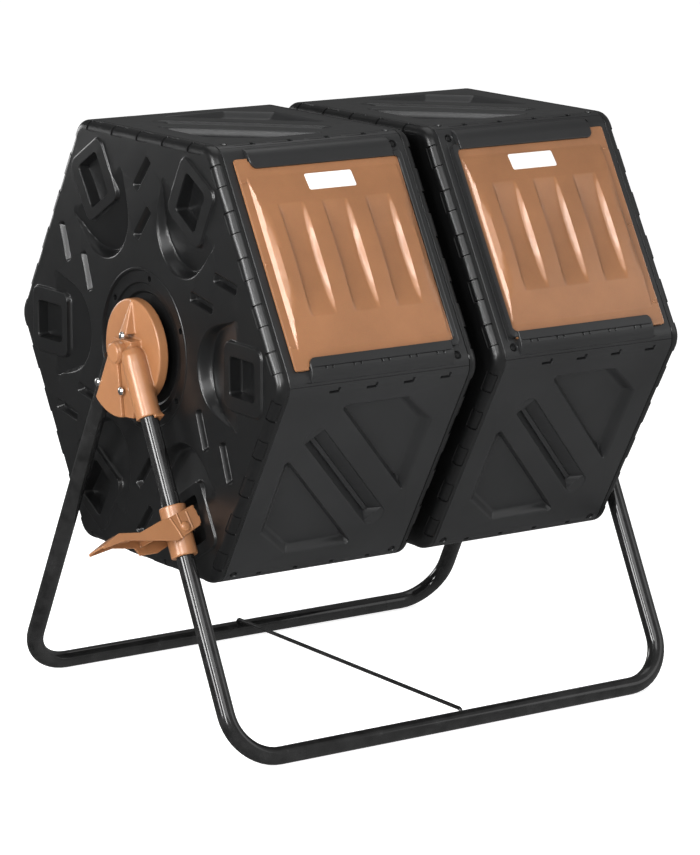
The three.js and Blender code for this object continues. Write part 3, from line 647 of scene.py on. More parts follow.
def add_grooves(relief, turn):
    """Two slanted finger grooves at the middle of one edge, steep on two sides and easy on the others."""
    box = np.array([(-26, -7.5), (26, -7.5), (26, 7.5), (-26, 7.5)], float)
    for radius in (156, 217):
        relief.recess(placed(box, *turned((radius, 0), turn), turn - 40), [3.6, 7, 6.5, 3.6], 7.5, 5)


def add_knuckles(relief):
    """Five interlocking knuckles over each edge, each outlined by a thin line with a deep gap at both ends."""
    inner = APOTHEM - RIM_R - 1.2
    outer = APOTHEM - RIM_R + RIM_R * 1.45
    middle = (inner + outer) / 2
    for edge in range(6):
        turn = 30 + 60 * edge
        for k in range(-2, 3):
            along = k * KNUCKLE_PITCH
            knuckle = placed(rectangle(outer - inner, KNUCKLE_LENGTH, 2.0, 3), middle, along)
            relief.press(placed(knuckle, turn=turn), [(0, 0), (0.3, -1.1), (1.1, -1.1), (1.4, 0.1), (2.4, 0.4)])
            for end in (-1, 1):
                far = along + end * KNUCKLE_LENGTH / 2
                gap = placed(rectangle(outer - inner - 1.0, 1.8, 0.5, 2), middle, far)
                relief.press(placed(gap, turn=turn), [(0, 0), (0.4, -2.4)])


def rim_stations(relief):
    """Mesh lines along the rounding of the rim."""
    for degrees in (0, 12, 24, 36, 48, 60, 72, 84, 90):
        over = math.radians(degrees) * RIM_R
        relief.loops.append(hexagon(APOTHEM - RIM_R + over, CORNER_R - RIM_R + over, 8))


def end_relief():
    """What inner and outer end panels share: the rim, rolled over the panel's edge, and its knuckles."""
    over = RIM_R * math.pi / 2 + RIM - RIM_R
    border = hexagon(APOTHEM - RIM_R + over, CORNER_R - RIM_R + over, 8)
    relief = Relief(border)
    relief.press(border, [(0, -0.7), (0.7, 0)])
    rim_stations(relief)
    add_knuckles(relief)
    return relief


def outer_end_panel():
    relief = end_relief()
    for k in range(6):
        add_pocket(relief, 60 * k)
        add_grooves(relief, 30 + 60 * k)
        relief.press(placed(circle(4.0, 16), *turned((89, 0), 23 + 60 * k)), wall(-6, 0.8))
    relief.press(circle(101, 96), [(0, 0), (0.8, 0.7), (2.6, 0.7), (3.4, -0.6), (4.4, -2.8), (5, -3)])
    relief.press(circle(83, 96), [(0, 0), (0.8, -0.3), (2.0, -2.4), (3, -2.8)])
    relief.press(circle(72, 96), wall(-4, 4))
    relief.hole(circle(39.5, 64))
    return relief


def inner_end_panel():
    relief = end_relief()
    relief.press(circle(104, 96), wall(-1.5, 2.0))
    relief.press(circle(60, 64), wall(-3, 6.0))
    return relief


def build_end_panels():
    for side, sign in SIDES.items():
        for name, relief, spot, outward in (("outer", outer_end_panel(), CHAMBER_OUT, sign),
                                            ("inner", inner_end_panel(), CHAMBER_IN, -sign)):
            place = on_end(sign * spot, outward)
            mould(f"moulded_end_{name}_{side}", relief, place, END_PANEL, f"end_panel_{name}_{side}")


# ---------------------------------------------------------------- drum: side panels

TRIANGLE = [(102, -46.7), (101, 77), (52, 119), (-50.4, 119)]
TRIANGLE_RUNS = [15, 13, 9, 4.5]
SLOT_PITCH = 53.5  # between the clips along an edge
SLOT_TURN = -47.3  # of the diagonal slot
SCREW_X, SCREW_S = 116.5, 141.0
FRAME_SCREW_X, FRAME_SCREW_S = 42.0, 138.0


def panel_border():
    x, s = PANEL_HALF_X, PANEL_END
    return np.array([(-x, -s), (x, -s), (x, s), (-x, s)], float)


def panel_relief():
    """A panel's blank sheet with the seam and clips that all faces share."""
    relief = Relief(panel_border())
    x, end = PANEL_HALF_X, PANEL_END
    bevel = 0.8
    for share in np.linspace(0, 1, 7):
        for sign in (-1, 1):
            s = sign * (FACE_HALF + share * (end - FACE_HALF)) * 0.99999
            relief.lines.append([(-x + 0.01, s), (x - 0.01, s)])

    def bevel_sides(points, _distance, height):
        return height - 0.6 * np.clip(1 - (x - np.abs(points[:, 0])) / bevel, 0, 1)

    relief.features.append((panel_border(), bevel_sides))
    for side in (-1, 1):
        relief.lines.append([(side * (x - bevel), -end + 0.01), (side * (x - bevel), end - 0.01)])
    for k in range(4):
        window = -65 + SLOT_PITCH * k
        square = -78.5 + SLOT_PITCH * k
        for width, height, radius, spot, depth, run in (
            (15, 4, 0.8, (window, 142), 3.2, 0.7), (4, 4.5, 0.8, (window + 6.5, 145.2), 2.5, 0.7),
            (7, 6.5, 0.8, (square, -146), 4.5, 0.8), (24, 1.2, 0.3, (square - 15, -148.6), 1.4, 0.4),
            (17, 1.2, 0.3, (square + 12.5, -146.8), 1.4, 0.4),
        ):
            relief.press(placed(rectangle(width, height, radius, 2 if radius > 0.5 else 1), *spot), wall(-depth, run))
    return relief


def screw_recess(relief, x, s):
    relief.press(placed(circle(5.6, 20), x, s), wall(-3.0, 1.2))


def closed_panel():
    """A side panel: a diagonal slot with a rib along its floor, between two triangular recesses."""
    relief = panel_relief()
    relief.press(placed(stadium(99, 16), -0.5, -2.5, SLOT_TURN), wall(-11, 6.0))
    relief.press(placed(stadium(90, 3.4, 5), -3.2, -5.2, SLOT_TURN), wall(6.5, 2.2))
    for turn in (0, 180):
        relief.recess(placed(np.array(TRIANGLE, float), turn=turn), TRIANGLE_RUNS, 10, [6, 9, 9, 6])
    for x in (-SCREW_X, SCREW_X):
        screw_recess(relief, x, -SCREW_S)
    return relief


OPENING = rounded_box(62, 258, -108, 108, 12, 5)


def door_frame(sign):
    """The front upper face: an opening, a fine line beside it, and two screws near the inner edge."""
    relief = panel_relief()
    opening = placed(OPENING, -CHAMBER_MID, 0)
    if sign < 0:
        opening = (opening * np.array([-1, 1]))[::-1]
    relief.hole(opening)
    relief.press(placed(rectangle(1.6, 262, 0.5, 1), sign * (36.5 - CHAMBER_MID), 0), wall(-1.0, 0.5))
    for s in (-FRAME_SCREW_S, FRAME_SCREW_S):
        screw_recess(relief, sign * (FRAME_SCREW_X - CHAMBER_MID), s)
    return relief


def screw_head(name, spot, direction, radius, height, kind, stands_for=(), dimple=0.0):
    """Dome screw at a point, its axis along direction, with an optional dimple in its top."""
    dome = [(0, -0.6), (radius, -0.6)]
    for share, level in ((1, 0.15), (0.93, 0.42), (0.76, 0.72), (0.45, 0.93)):
        dome.append((radius * share, height * level))
    points, faces = lathe(dome + [(0, height - dimple)], spot, direction, 28)
    make_object(name, points, faces, kind, stands_for, sharp=50)


def panel_screw(name, face_angle, x, s):
    """Screw head at the bottom of its recess."""
    low, high = (on_face(face_angle, 0)(np.array([[x, s]]), np.array([h]))[0] for h in (-2.4, -1.4))
    screw_head(name, low, high - low, 3.6, 1.6, PANEL_SCREW, dimple=0.7)


def build_panels():
    for side, sign in SIDES.items():
        middle = sign * CHAMBER_MID
        for face, angle in FACES.items():
            if face == "front_upper":
                relief = door_frame(sign)
                node = f"door_frame_{side}"
            else:
                relief = closed_panel()
                node = f"side_panel_{face}_{side}"
                for k, x in enumerate((-SCREW_X, SCREW_X)):
                    panel_screw(f"panel_screw_{face}_{side}_{k + 1}", angle, middle + x, -SCREW_S)
            mould(f"moulded_{node}", relief, on_face(angle, middle), PANEL, node)
        for name, up in (("upper", 1), ("lower", -1)):
            spot = (sign * FRAME_SCREW_X, up * FRAME_SCREW_S)
            panel_screw(f"frame_screw_{name}_{side}", FACES["front_upper"], *spot)


# ---------------------------------------------------------------- door rails

RAIL_IN = 50.0
RAIL_OUT = 255.0
RAIL_LIP = 120.0
RAIL_EDGE = 149.0
DOOR_TOP = 4.8  # underside of what lies over the door
FOOT = 0.2  # underside of what stands on the frame


def rail_relief(upper):
    """A rail's top, drawn flat: lip over the door, seam, clip notches, and a ramp down to the corner."""
    outline = rounded_box(RAIL_IN, RAIL_OUT, RAIL_LIP, RAIL_EDGE, [1.0, 9.0, 1.0, 1.0], 6)
    relief = Relief(outline)
    for s in (131, 134, 137, 140, 143, 146, 148):
        relief.lines.append([(RAIL_IN + 0.01, s), (RAIL_OUT - 0.01, s)])

    def slope(points, _distance, _height):
        x, s = points[:, 0], points[:, 1]
        fall = np.interp(s, [131, 134, 137, 140, 143, 146, 149], [7.2, 7.1, 6.6, 5.6, 4.2, 2.4, 0.6])
        ends = np.interp(np.minimum(x - RAIL_IN, RAIL_OUT - x), [0, 0.5, 1.4], [0.9, 0.3, 0])
        lip = np.interp(s - RAIL_LIP, [0, 0.4, 1.0], [0.7, 0.2, 0])
        return fall - np.minimum(ends + lip, np.maximum(fall - 0.4, 0))

    relief.feature(outline, slope, [0.4, 1.0, 1.4])
    if not upper:
        relief.press(rounded_box(RAIL_IN + 2, RAIL_OUT - 3, 131.6, 132.8, 0.3, 1), wall(-1.3, 0.4))
        for k in range(5):
            for offset in (-5, 5):
                relief.press(placed(rectangle(3.2, 3.6, 0.6, 2), 70 + 40 * k + offset, 134.4), wall(-1.6, 0.6))
    return relief


def build_rails():
    """The underside of a rail is a flat foot on the frame, with a groove for the door's edge."""
    for side, sign in SIDES.items():
        for name, up in (("upper", 1), ("lower", -1)):

            def place(points, height, flip=np.array([sign, up])):
                under = np.where(points[:, 1] < 131, DOOR_TOP, FOOT)
                return FRONT(points * flip, np.where(height > 0.3, height, under))

            node = f"door_rail_{name}_{side}"
            mould(f"moulded_{node}", rail_relief(up > 0), place, PANEL, node, DEEP, sign * up < 0)


def build_door_stops():
    """A raised C on each frame, round the inner edge of the door way, where the closed door comes to rest."""
    edge, back, over, half = 44.6, 38.5, 49.6, 127.0
    outline = rounded(
        [(back, -half), (over, -half), (over, -RAIL_LIP), (edge, -RAIL_LIP),
         (edge, RAIL_LIP), (over, RAIL_LIP), (over, half), (back, half)],
        [6.0, 0.3, 0.3, 4.6, 4.6, 0.3, 0.3, 6.0], 5,
    )
    relief = Relief(outline)
    relief.press(outline, [(0, -0.9), (0.5, -0.3), (1.4, 0)])
    for side, sign in SIDES.items():

        def place(points, height, flip=np.array([sign, 1])):
            under = np.where(points[:, 0] > edge + 0.1, DOOR_TOP, FOOT)
            return FRONT(points * flip, np.where(height > -DEEP / 2, 6.8 + height, under))

        mould(f"moulded_door_stop_{side}", relief, place, PANEL, f"door_frame_{side}", DEEP, sign < 0)


# ---------------------------------------------------------------- doors

RIB_CENTRES = [63.5, 125.5, 187.5, 249.5]
RIB_HALF = 12.0
RIB_RUN = 5.0
PILLOW_IN, PILLOW_OUT = 48.0, 265.0
PILLOW_HALF, BAND_TOP = 111.0, 70.0
BAND_SLOPE = [(73.0, 6.1), (106.0, 0.9)]  # ends of the straight part of a band, as (up the face, rise)
LABEL_X, LABEL_S = 151.0, 97.0


def pillow_height(points):
    """Skin of the door above its plate: sloping bands, crowned ribs, and dished scoops between them."""
    x, s = points[:, 0], np.abs(points[:, 1])
    band = np.interp(s, *zip((BAND_TOP, 6.5), *BAND_SLOPE, (109, 0.25), (PILLOW_HALF, 0)))
    bow = np.clip(1 - (s / BAND_TOP) ** 2, 0, 1)
    nearest = np.abs(x[:, None] - np.array(RIB_CENTRES)[None]).min(1)
    rib = np.interp(nearest, [RIB_HALF - 0.6, RIB_HALF + 0.3, RIB_HALF + RIB_RUN - 1, RIB_HALF + RIB_RUN + 1],
                    [1.0, 0.95, 0.1, 0.0])
    height = band + bow * (3.1 * rib - 5.0 * (1 - rib))
    edge = np.minimum(x - PILLOW_IN, PILLOW_OUT - x)
    return np.minimum(height, np.interp(edge, [0, 0.6, 5, 6.5, 8.5], [0, 0.25, 7.4, 9.2, 10.0]))


def door_relief():
    """The door's plate, with its tab on the outer edge, and the pillow of ribs and scoops on it."""
    half, tab_half, tab = DOOR_HALF, DOOR_HALF + 4, DOOR_OUT - 19
    outline = rounded(
        [(DOOR_IN, -half), (tab, -half), (tab, -tab_half), (DOOR_OUT, -tab_half),
         (DOOR_OUT, tab_half), (tab, tab_half), (tab, half), (DOOR_IN, half)],
        [10, 1.5, 1.5, 3, 3, 1.5, 1.5, 10], 5,
    )
    relief = Relief(outline)
    relief.press(outline, [(0, -1.0), (0.3, -0.3), (1.0, 0)])
    pillow = rounded_box(PILLOW_IN, PILLOW_OUT, -PILLOW_HALF, PILLOW_HALF, 4, 5)

    def swell(points, distance, height):
        rise = np.minimum(pillow_height(points), np.interp(distance, [0, 0.6, 5, 8], [0, 0.3, 7.6, 12]))
        return np.maximum(height, rise)

    relief.feature(pillow, swell, [0, 0.6, 3, 5, 8])
    stations = set()
    for centre in RIB_CENTRES:
        for offset in (0, 6, 11.4, 12.3, 13.6, 15, 16.5, 18):
            stations.update((centre - offset, centre + offset))
        stations.update((centre + 24, centre + 31, centre + 38))
    for x in sorted(stations):
        if PILLOW_IN + 0.5 < x < PILLOW_OUT - 0.5:
            relief.lines.append([(x, 0.1 - PILLOW_HALF), (x, PILLOW_HALF - 0.1)])
    for s in [*range(-63, 64, 7), -70.5, 70.5, -73, 73, -80, 80, -88, 88, -96, 96, -103, 103, -106, 106, -109, 109]:
        relief.lines.append([(PILLOW_IN + 0.1, s), (PILLOW_OUT - 0.1, s)])
    for s in (-104, 0, 104):
        relief.press(placed(rectangle(7, 3.2, 1.2, 3), DOOR_OUT - 4.2, s), wall(1.0, 0.7))
    return relief


def build_doors():
    relief = door_relief()
    for side, sign in SIDES.items():

        def place(points, height, sign=sign):
            normal = APOTHEM + np.maximum(DOOR_SEAT + DOOR_PLATE + height, DOOR_SEAT)
            return front_plane(points[:, 0] * sign, points[:, 1], normal)

        mould(f"moulded_door_{side}", relief, place, (COPPER, f"{side}_door", "copper_plastic"), f"door_{side}",
              DOOR_PLATE - 1.0, sign < 0)
        build_label(side, sign)


def build_label(side, sign):
    """Blank rounded label lying on the door's upper band."""
    outline = rectangle(67, 22, 2.2, 5)
    relief = Relief(outline)
    relief.press(outline, [(0, -0.25), (0.3, 0)])
    (top_s, top_rise), (foot_s, foot_rise) = BAND_SLOPE
    slope = math.atan2(top_rise - foot_rise, foot_s - top_s)
    level = APOTHEM + DOOR_SEAT + DOOR_PLATE + foot_rise + (foot_s - LABEL_S) * math.tan(slope) + 0.5

    def place(points, height):
        up = LABEL_S + points[:, 1] * math.cos(slope) + height * math.sin(slope)
        normal = level - points[:, 1] * math.sin(slope) + height * math.cos(slope)
        return front_plane(points[:, 0] + sign * LABEL_X, up, normal)

    mould(f"blank_label_{side}", relief, place, (LABEL, f"{side}_door", "label"), f"door_label_{side}", 0.45)


# ---------------------------------------------------------------- solids for hubs and latch

def lathe(profile, origin, axis, sides=64):
    """Closed turned solid: profile of (radius, distance along axis) that starts and ends on the axis."""
    axis = Vector(axis).normalized()
    side = axis.orthogonal().normalized()
    other = axis.cross(side)
    origin = Vector(origin)
    points, faces = [tuple(origin + axis * profile[0][1])], []
    rings = profile[1:-1]
    for radius, along in rings:
        for k in range(sides):
            a = 2 * math.pi * k / sides
            points.append(tuple(origin + axis * along + (side * math.cos(a) + other * math.sin(a)) * radius))
    points.append(tuple(origin + axis * profile[-1][1]))
    for k in range(sides):
        n = (k + 1) % sides
        faces.append((0, 1 + n, 1 + k))
        for ring in range(len(rings) - 1):
            a, b = 1 + ring * sides + k, 1 + ring * sides + n
            faces.append((a, b, b + sides, a + sides))
        last = 1 + (len(rings) - 1) * sides
        faces.append((last + k, last + n, len(points) - 1))
    return points, faces


def slab(outline, origin, u_axis, v_axis, w0, w1):
    """Straight extrusion of an outline drawn on two axes, between two heights along their normal."""
    u, v, origin = Vector(u_axis), Vector(v_axis), Vector(origin)
    w = u.cross(v)
    count = len(outline)
    points = [tuple(origin + u * float(p[0]) + v * float(p[1]) + w * h) for h in (w0, w1) for p in outline]
    area = sum(outline[i][0] * outline[(i + 1) % count][1] - outline[(i + 1) % count][0] * outline[i][1]
               for i in range(count))
    faces = [list(range(count))[::-1], [count + i for i in range(count)]]
    faces += [(i, (i + 1) % count, count + (i + 1) % count, count + i) for i in range(count)]
    if area < 0:
        faces = [list(face)[::-1] for face in faces]
    return points, faces


def merged(solids):
    points, faces = [], []
    for more_points, more_faces in solids:
        first = len(points)
        points.extend(more_points)
        faces.extend([first + i for i in face] for face in more_faces)
    return points, faces


def moulded(name, solids, cutters, voxel, kind, stands_for, smooth=4):
    """Overlapping solids fused into one moulding with soft edges, less the cutters."""
    points, faces = merged(solids)
    piece = make_object(name, points, faces, kind, stands_for, sharp=180)
    piece.modifiers.clear()
    run_modifier(piece, "REMESH", mode="VOXEL", voxel_size=voxel * MM)
    for i, cutter in enumerate(cutters):
        points, faces = cutter
        tool = bpy.data.meshes.new(f"{name}_cutter_{i}")
        tool.from_pydata(((np.asarray(points) + CENTRE) * MM).tolist(), [], [list(face) for face in faces])
        tool_object = bpy.data.objects.new(f"{name}_cutter_{i}", tool)
        bpy.context.scene.collection.objects.link(tool_object)
        run_modifier(piece, "BOOLEAN", operation="DIFFERENCE", solver="EXACT", object=tool_object)
        bpy.data.objects.remove(tool_object)
    if cutters:
        run_modifier(piece, "REMESH", mode="VOXEL", voxel_size=voxel * MM)
    run_modifier(piece, "SMOOTH", factor=0.5, iterations=smooth)
    piece.data.materials.clear()
    piece.data.materials.append(kind[0])
    piece.data.shade_smooth()


def run_modifier(piece, kind, **settings):
    """Adds a modifier and bakes its result into the mesh."""
    modifier = piece.modifiers.new(kind.lower(), kind)
    for name, value in settings.items():
        setattr(modifier, name, value)
    bpy.context.view_layer.update()
    graph = bpy.context.evaluated_depsgraph_get()
    result = bpy.data.meshes.new_from_object(piece.evaluated_get(graph))
    piece.modifiers.clear()
    piece.data = result


# ---------------------------------------------------------------- stand

def leg_up(front):
    """Unit vector up a leg. front is -1 for the front legs and 1 for the back ones."""
    return Vector((0, -front * math.sin(LEG_TILT), math.cos(LEG_TILT)))


def leg_point(side, front, down):
    return Vector((side * LEG_X, front * LEG_TOP_Y, 0)) - leg_up(front) * down


def tube(name, path, radius, kind, stands_for, sides=40):
    """Round bar or tube along a path of points, with flat ends."""
    path = [Vector(p) for p in path]
    points, faces = [], []
    side = None
    for i, spot in enumerate(path):
        ahead = path[min(i + 1, len(path) - 1)] - spot
        behind = spot - path[max(i - 1, 0)]
        along = (ahead.normalized() + behind.normalized()).normalized()
        side = along.orthogonal() if side is None else side - along * side.dot(along)
        side = side.normalized()
        other = along.cross(side)
        for k in range(sides):
            a = 2 * math.pi * k / sides
            points.append(tuple(spot + (side * math.cos(a) + other * math.sin(a)) * radius))
    for i in range(len(path) - 1):
        for k in range(sides):
            a, b = i * sides + k, i * sides + (k + 1) % sides
            faces.append((a, b, b + sides, a + sides))
    faces.append(list(range(sides))[::-1])
    faces.append([(len(path) - 1) * sides + k for k in range(sides)])
    make_object(name, points, faces, kind, stands_for, sharp=40)


def leg_path(side, front):
    """Down the leg, round the bend, and in along the ground to the joint with the ground tube."""
    up = leg_up(front)
    total = FOOT_DROP / math.cos(LEG_TILT)
    path = [leg_point(side, front, 12), leg_point(side, front, total - BEND_R)]
    centre = path[1] - Vector((side * BEND_R, 0, 0))
    for k in range(1, 13):
        a = math.pi / 2 * k / 12
        path.append(centre + Vector((side * BEND_R * math.cos(a), 0, 0)) - up * (BEND_R * math.sin(a)))
    path.append(Vector((side * (TUBE_END + 0.2), path[-1].y, path[-1].z)))
    return path


def build_stand():
    for name, front in (("front", -1), ("back", 1)):
        for side, sign in SIDES.items():
            node = f"{name}_leg_{side}"
            tube(f"round_{node}", leg_path(sign, front), TUBE_R, STAND_TUBE, [node])
        ends = [(sign * (TUBE_END - 0.2), front * FOOT_Y, -FOOT_DROP) for sign in (-1, 1)]
        tube(f"round_ground_tube_{name}", ends, TUBE_R, STAND_TUBE, [f"ground_tube_{name}"])
    build_brace()


def build_brace():
    """Wire brace from the back tube to the front one, hooked down at both ends."""
    z = -CENTRE[2] + 2 * TUBE_R + 2.8
    bend = 4.0
    path = [(0, FOOT_Y, z - 7)]
    for k in range(7):
        a = math.pi / 2 * k / 6
        path.append((0, FOOT_Y - bend * (1 - math.cos(a)), z - bend + bend * math.sin(a)))
    for k in range(7):
        a = math.pi / 2 * k / 6
        path.append((0, -FOOT_Y + bend * (1 - math.sin(a)), z - bend + bend * math.cos(a)))
    path.append((0, -FOOT_Y, z - 7))
    tube("round_brace_rod", path, 2.5, BRACE, ["brace_rod"], sides=20)


# ---------------------------------------------------------------- hubs

def yz_slab(outline, x0, x1):
    """Outline in (y, z) carried along X."""
    return slab(outline, (0, 0, 0), (0, 1, 0), (0, 0, 1), min(x0, x1), max(x0, x1))


def arc_points(radius, start, end, steps):
    return [(radius * math.cos(math.radians(a)), radius * math.sin(math.radians(a)))
            for a in np.linspace(start, end, steps + 1)]


def box(y0, y1, z0, z1, x0, x1):
    return yz_slab([(y0, z0), (y1, z0), (y1, z1), (y0, z1)], x0, x1)


def gusset(sign):
    """Tapered rib from the disc's rim down to the top screw, wider and prouder at its foot."""
    points = []
    for z, half, rise in ((22.0, 9.0, 16.0), (61.5, 1.8, 3.2)):
        low, high = sign * HUB_FOOT, sign * (HUB_FOOT + rise)
        points += [(low, -half, z), (high, -half * 0.8, z), (high, half * 0.8, z), (low, half, z)]
    faces = [(3, 2, 1, 0), (4, 5, 6, 7)] + [(i, (i + 1) % 4, 4 + (i + 1) % 4, 4 + i) for i in range(4)]
    return points, faces if sign > 0 else [face[::-1] for face in faces]


def leg_bore(side, front):
    """Room for a leg's end, from below."""
    profile = [(0, -300), (TUBE_BORE, -300), (TUBE_BORE, -13), (0, -13)]
    return lathe(profile, leg_point(side, front, 0), leg_up(front), 48)


def build_hub(side, sign):
    """Disc with its stub axle, the front leg's socket, and the ribs between the two."""
    back = DISC_BACK
    disc = lathe([(0, back), (62, back), (64, back + 1.5), (64, 314.2), (63.5, 315.6), (62.2, 316), (0, 316)],
                 (0, 0, 0), (sign, 0, 0), 128)
    stub = lathe([(0, 266), (24.6, 266), (24.6, back + 1), (0, back + 1)], (0, 0, 0), (sign, 0, 0), 64)
    socket = lathe([(0, -82), (15.2, -82), (15.6, -81), (15.6, -40), (15.4, -12), (14.6, -3), (12, 4), (7, 8.5),
                    (0, 10)], leg_point(sign, -1, 0), leg_up(-1), 64)
    foot = sign * HUB_FOOT
    step = box(-22, 18, -4, 15.5, foot, sign * (HUB_FOOT + 17))
    neck = yz_slab([(-4.6, -13.4), (10, 0), (8, 4), (-14, 4), (-34, -2), (-42, -20), (-34, -77), (-14.6, -78.7)],
                   foot, sign * (HUB_FOOT + 22))
    skirt = yz_slab([(-30, -4), (-44, -24), (-62, -64), (-73, -68), (-62, -77), (-14.6, -78.7), (-14.6, -20)],
                    foot, sign * (HUB_FOOT + 13))
    solids = [disc, stub, socket, step, neck, skirt, gusset(sign)]
    moulded(f"moulded_hub_disc_{side}", solids, [leg_bore(sign, -1)], 0.9, HUB, [f"hub_disc_{side}"])


def build_rear_plate(side, sign):
    """Plate over the back leg: the hub's lower edge on one side, and a round nose with a boss."""
    start = math.degrees(math.atan2(-78.7, -14))
    outline = arc_points(80, start, -52.5, 24) + arc_points(14, 14.5, 253.4, 24)
    plate = yz_slab(outline, sign * 316.5, sign * PLATE_FACE)
    rises = [(0, -3), (12.8, -3), (12.8, 3.4), (11.8, 4.6), (9, 5.0), (0, 5.2)]
    boss = lathe([(radius, PLATE_FACE + rise) for radius, rise in rises], (0, 0, 0), (sign, 0, 0), 64)
    node = f"rear_leg_plate_{side}"
    moulded(f"moulded_rear_plate_{side}", [plate, boss], [leg_bore(sign, 1)], 0.9, HUB, [node])


HUB_SCREWS = {"rear": (42.6, -44, PLATE_FACE), "front": (-13, -46, PLATE_FACE), "top": (0, 19.5, 330.0)}


def build_hubs():
    for side, sign in SIDES.items():
        build_hub(side, sign)
        build_rear_plate(side, sign)
        for name, (y, z, face) in HUB_SCREWS.items():
            spot = (sign * (face - 0.2), y, z)
            node = f"hub_screw_{name}_{side}"
            screw_head(f"dome_screw_{name}_{side}", spot, (sign, 0, 0), 5.4, 3.4, HUB_SCREW, [node])


# ---------------------------------------------------------------- latch

CHEEK_IN, CHEEK_OUT = 17.2, 19.6  # faces of the lever's two cheeks, from the middle of the leg


def build_latch():
    """Sleeve on the left front leg, and the lever that swings on it: two cheeks, a web, and a nose."""
    pivot, up = leg_point(-1, -1, LATCH_DROP), leg_up(-1)
    along = Vector((1, 0, 0))
    across = along.cross(up)
    sleeve = lathe([(0, -33), (16.2, -33), (16.6, -32), (16.6, 29), (16.2, 30), (0, 30)], pivot, up, 64)
    bore = lathe([(0, -40), (TUBE_BORE, -40), (TUBE_BORE, 40), (0, 40)], pivot, up, 48)
    moulded("moulded_latch_sleeve", [sleeve], [bore], 0.7, HUB, ["latch_sleeve"], 2)

    def bar(outline, w0, w1):
        return slab(outline, pivot, along, up, w0, w1)

    top = [(-117, -8), (-92, 4), (-63, 1), (-33, 11), (-21, 13)]
    nose_end = [(16.5, 24.5), (20.5, 16), (21, -1)]
    front = bar(top + nose_end + [(-15, -16), (-84, -6), (-117, -12)], CHEEK_IN, CHEEK_OUT)
    rear = bar(top + nose_end + [(-15, -16), (-25, -20), (-50, -20), (-55, -10), (-84, -6), (-117, -12)],
               -CHEEK_OUT, -CHEEK_IN)
    web = bar(top[:4] + [(x, y - 2.4) for x, y in top[:4]][::-1], -CHEEK_OUT, CHEEK_OUT)
    stop = bar([(-46, 5), (-43.4, 6), (-43.4, -10), (-46, -10)], -18.5, 18.5)
    tip = bar([(18.5, 2.5), (24.5, 2), (24.5, 26.5), (22.5, 26.8), (18.5, 24)], -9.3, 9.3)
    half = [(CHEEK_OUT, 1), (CHEEK_OUT, 10), (9.3, 15), (9.3, 24.5)]
    nose = slab([(-CHEEK_OUT, 1), *half, *[(-x, y) for x, y in half[:0:-1]]], pivot, across, up, -22.5, -19)
    bead = bar([(-19, 12), (-17.6, 12.5), (-10, -5), (-7.5, -14), (-9, -14.4), (-11.6, -5.2)], 19, 20.5)
    tongue = [bar([(x, 18), (x + 1.3, 18.4), (x + 5.3, -3), (x + 4, -3.4)], 19, 20.3) for x in (-9, 5)]
    solids = [front, rear, web, stop, tip, nose, bead, *tongue]
    moulded("moulded_latch_lever", solids, [], 0.55, LEVER, ["latch_lever"], 2)
    for name, sign in (("front", 1), ("rear", -1)):
        spot = pivot + across * (sign * 20.2)
        screw_head(f"latch_pin_{name}", spot, across * sign, 6.2, 2.4, HUB, ["latch_pin"])


# ---------------------------------------------------------------- carried-over nodes

def finish_nodes():
    """Inner pieces keep their CAD shape and get the material they are made of."""
    looks = {"axle_bush": DEEP_BLACK, "coupling_ring": PANEL_BLACK, "coupling_bolt": ZINC, "axle_retainer": ZINC,
             "axle_screw": ZINC}
    for name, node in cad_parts.items():
        for start, material in looks.items():
            if name.startswith(start):
                node.data.materials.clear()
                node.data.materials.append(material)


# ---------------------------------------------------------------- stage

def area_light(name, spot, size, power):
    """White panel of light, sizes in metres and power in watts, aimed at the middle of the object."""
    light = bpy.data.lights.new(name, "AREA")
    light.shape = "RECTANGLE"
    light.size, light.size_y = size
    light.energy = power
    lamp = bpy.data.objects.new(name, light)
    bpy.context.scene.collection.objects.link(lamp)
    lamp.location = spot
    lamp.rotation_euler = (Vector((0.0, 0.0, 0.4)) - Vector(spot)).to_track_quat("-Z", "Y").to_euler()


def build_stage():
    """Pale floor that runs past the horizon, lit from within so that it stays even."""
    mesh = bpy.data.meshes.new("floor")
    reach = 80.0
    corners = [(-reach, -reach, 0), (reach, -reach, 0), (reach, reach, 0), (-reach, reach, 0)]
    mesh.from_pydata(corners, [], [(0, 1, 2, 3)])
    floor = bpy.data.objects.new("floor", mesh)
    bpy.context.scene.collection.objects.link(floor)
    material, tree, bsdf = shader("pale_floor", Roughness=0.9, Emission_Color=(1.0, 1.0, 1.0, 1.0),
                                  Emission_Strength=0.82, Specular_IOR_Level=0.1)
    colour = ramp(tree, object_noise(tree, 1.5), [(0.3, grey(0.8)), (0.7, grey(0.82))])
    tree.links.new(colour, bsdf.inputs["Base Color"])
    mesh.materials.append(material)
    floor.visible_glossy = False  # the gloss of the black plastic shows the studio, not the floor
    build_studio()


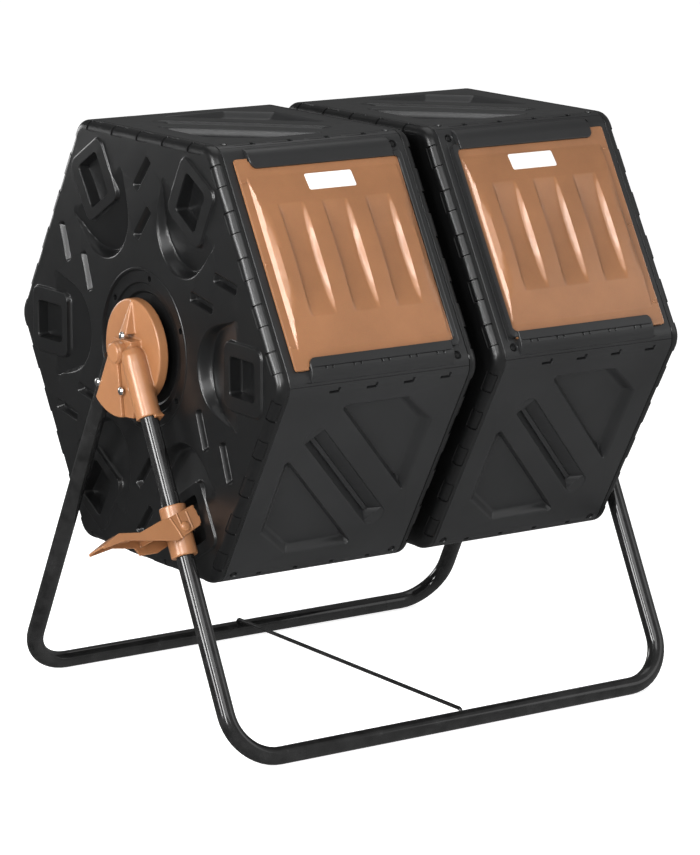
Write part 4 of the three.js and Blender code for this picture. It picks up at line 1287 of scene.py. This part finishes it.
def build_studio():
    """Soft room that is bright in front and to the right, and dim behind on the left, with soft lights round it."""
    world = bpy.data.worlds.new("studio")
    bpy.context.scene.world = world
    world.use_nodes = True
    tree = world.node_tree
    direction = add_node(tree, "ShaderNodeTexCoord")
    along = add_node(tree, "ShaderNodeVectorMath", operation="DOT_PRODUCT")
    along.inputs[1].default_value = (0.5, -0.84, 0.2)
    tree.links.new(direction.outputs["Generated"], along.inputs[0])
    share = add_node(tree, "ShaderNodeMapRange")
    share.inputs["From Min"].default_value = -0.7
    share.inputs["From Max"].default_value = 0.8
    tree.links.new(along.outputs["Value"], share.inputs["Value"])
    glow = ramp(tree, share.outputs["Result"], [(0.0, grey(0.1)), (1.0, grey(0.45)), (0.35, grey(0.14))])
    tree.links.new(glow, tree.nodes["Background"].inputs["Color"])
    tree.nodes["Background"].inputs["Strength"].default_value = 1.0
    for name, spot, size, power in (
        ("side_strip", (-2.7, -0.4, 1.3), (0.7, 1.6), 76), ("corner_strip", (-2.0, -1.6, 1.25), (0.36, 1.4), 40),
        ("key", (-1.2, -2.6, 2.4), (1.8, 1.8), 36), ("fill", (2.6, -2.0, 1.6), (1.6, 1.6), 10),
        ("top", (0.2, 0.6, 2.9), (2.2, 2.2), 16), ("back", (-0.8, 2.9, 0.8), (1.2, 0.8), 15),
    ):
        area_light(name, spot, size, power)


def build_camera():
    """Camera at the product view: front left, a little above the axle."""
    azimuth, elevation, roll = math.radians(-34.38), math.radians(12.22), math.radians(0.16)
    level = math.cos(elevation)
    back = Vector((math.sin(azimuth) * level, -math.cos(azimuth) * level, math.sin(elevation)))
    right = (-back).cross(Vector((0, 0, 1))).normalized()
    up = right.cross(-back)
    camera = bpy.data.cameras.new("camera")
    camera.sensor_width = 36.0
    camera.lens = 156.4
    holder = bpy.data.objects.new("camera", camera)
    bpy.context.scene.collection.objects.link(holder)
    distance, aside, below = 4719, 6.1, 131.3  # of the lens from the axle's middle, in millimetres
    spot = Vector(CENTRE) + back * distance + right * aside - up * below
    turn = Matrix((right, up, back)).transposed().to_4x4() @ Matrix.Rotation(roll, 4, "Z")
    holder.matrix_world = Matrix.Translation(spot * MM) @ turn
    bpy.context.scene.view_settings.view_transform = "Standard"
    camera.clip_start = 0.1
    camera.clip_end = 50.0
    bpy.context.scene.camera = holder


build_camera()
build_end_panels()
build_panels()
build_rails()
build_door_stops()
build_doors()
build_stand()
build_hubs()
build_latch()
finish_nodes()
build_stage()
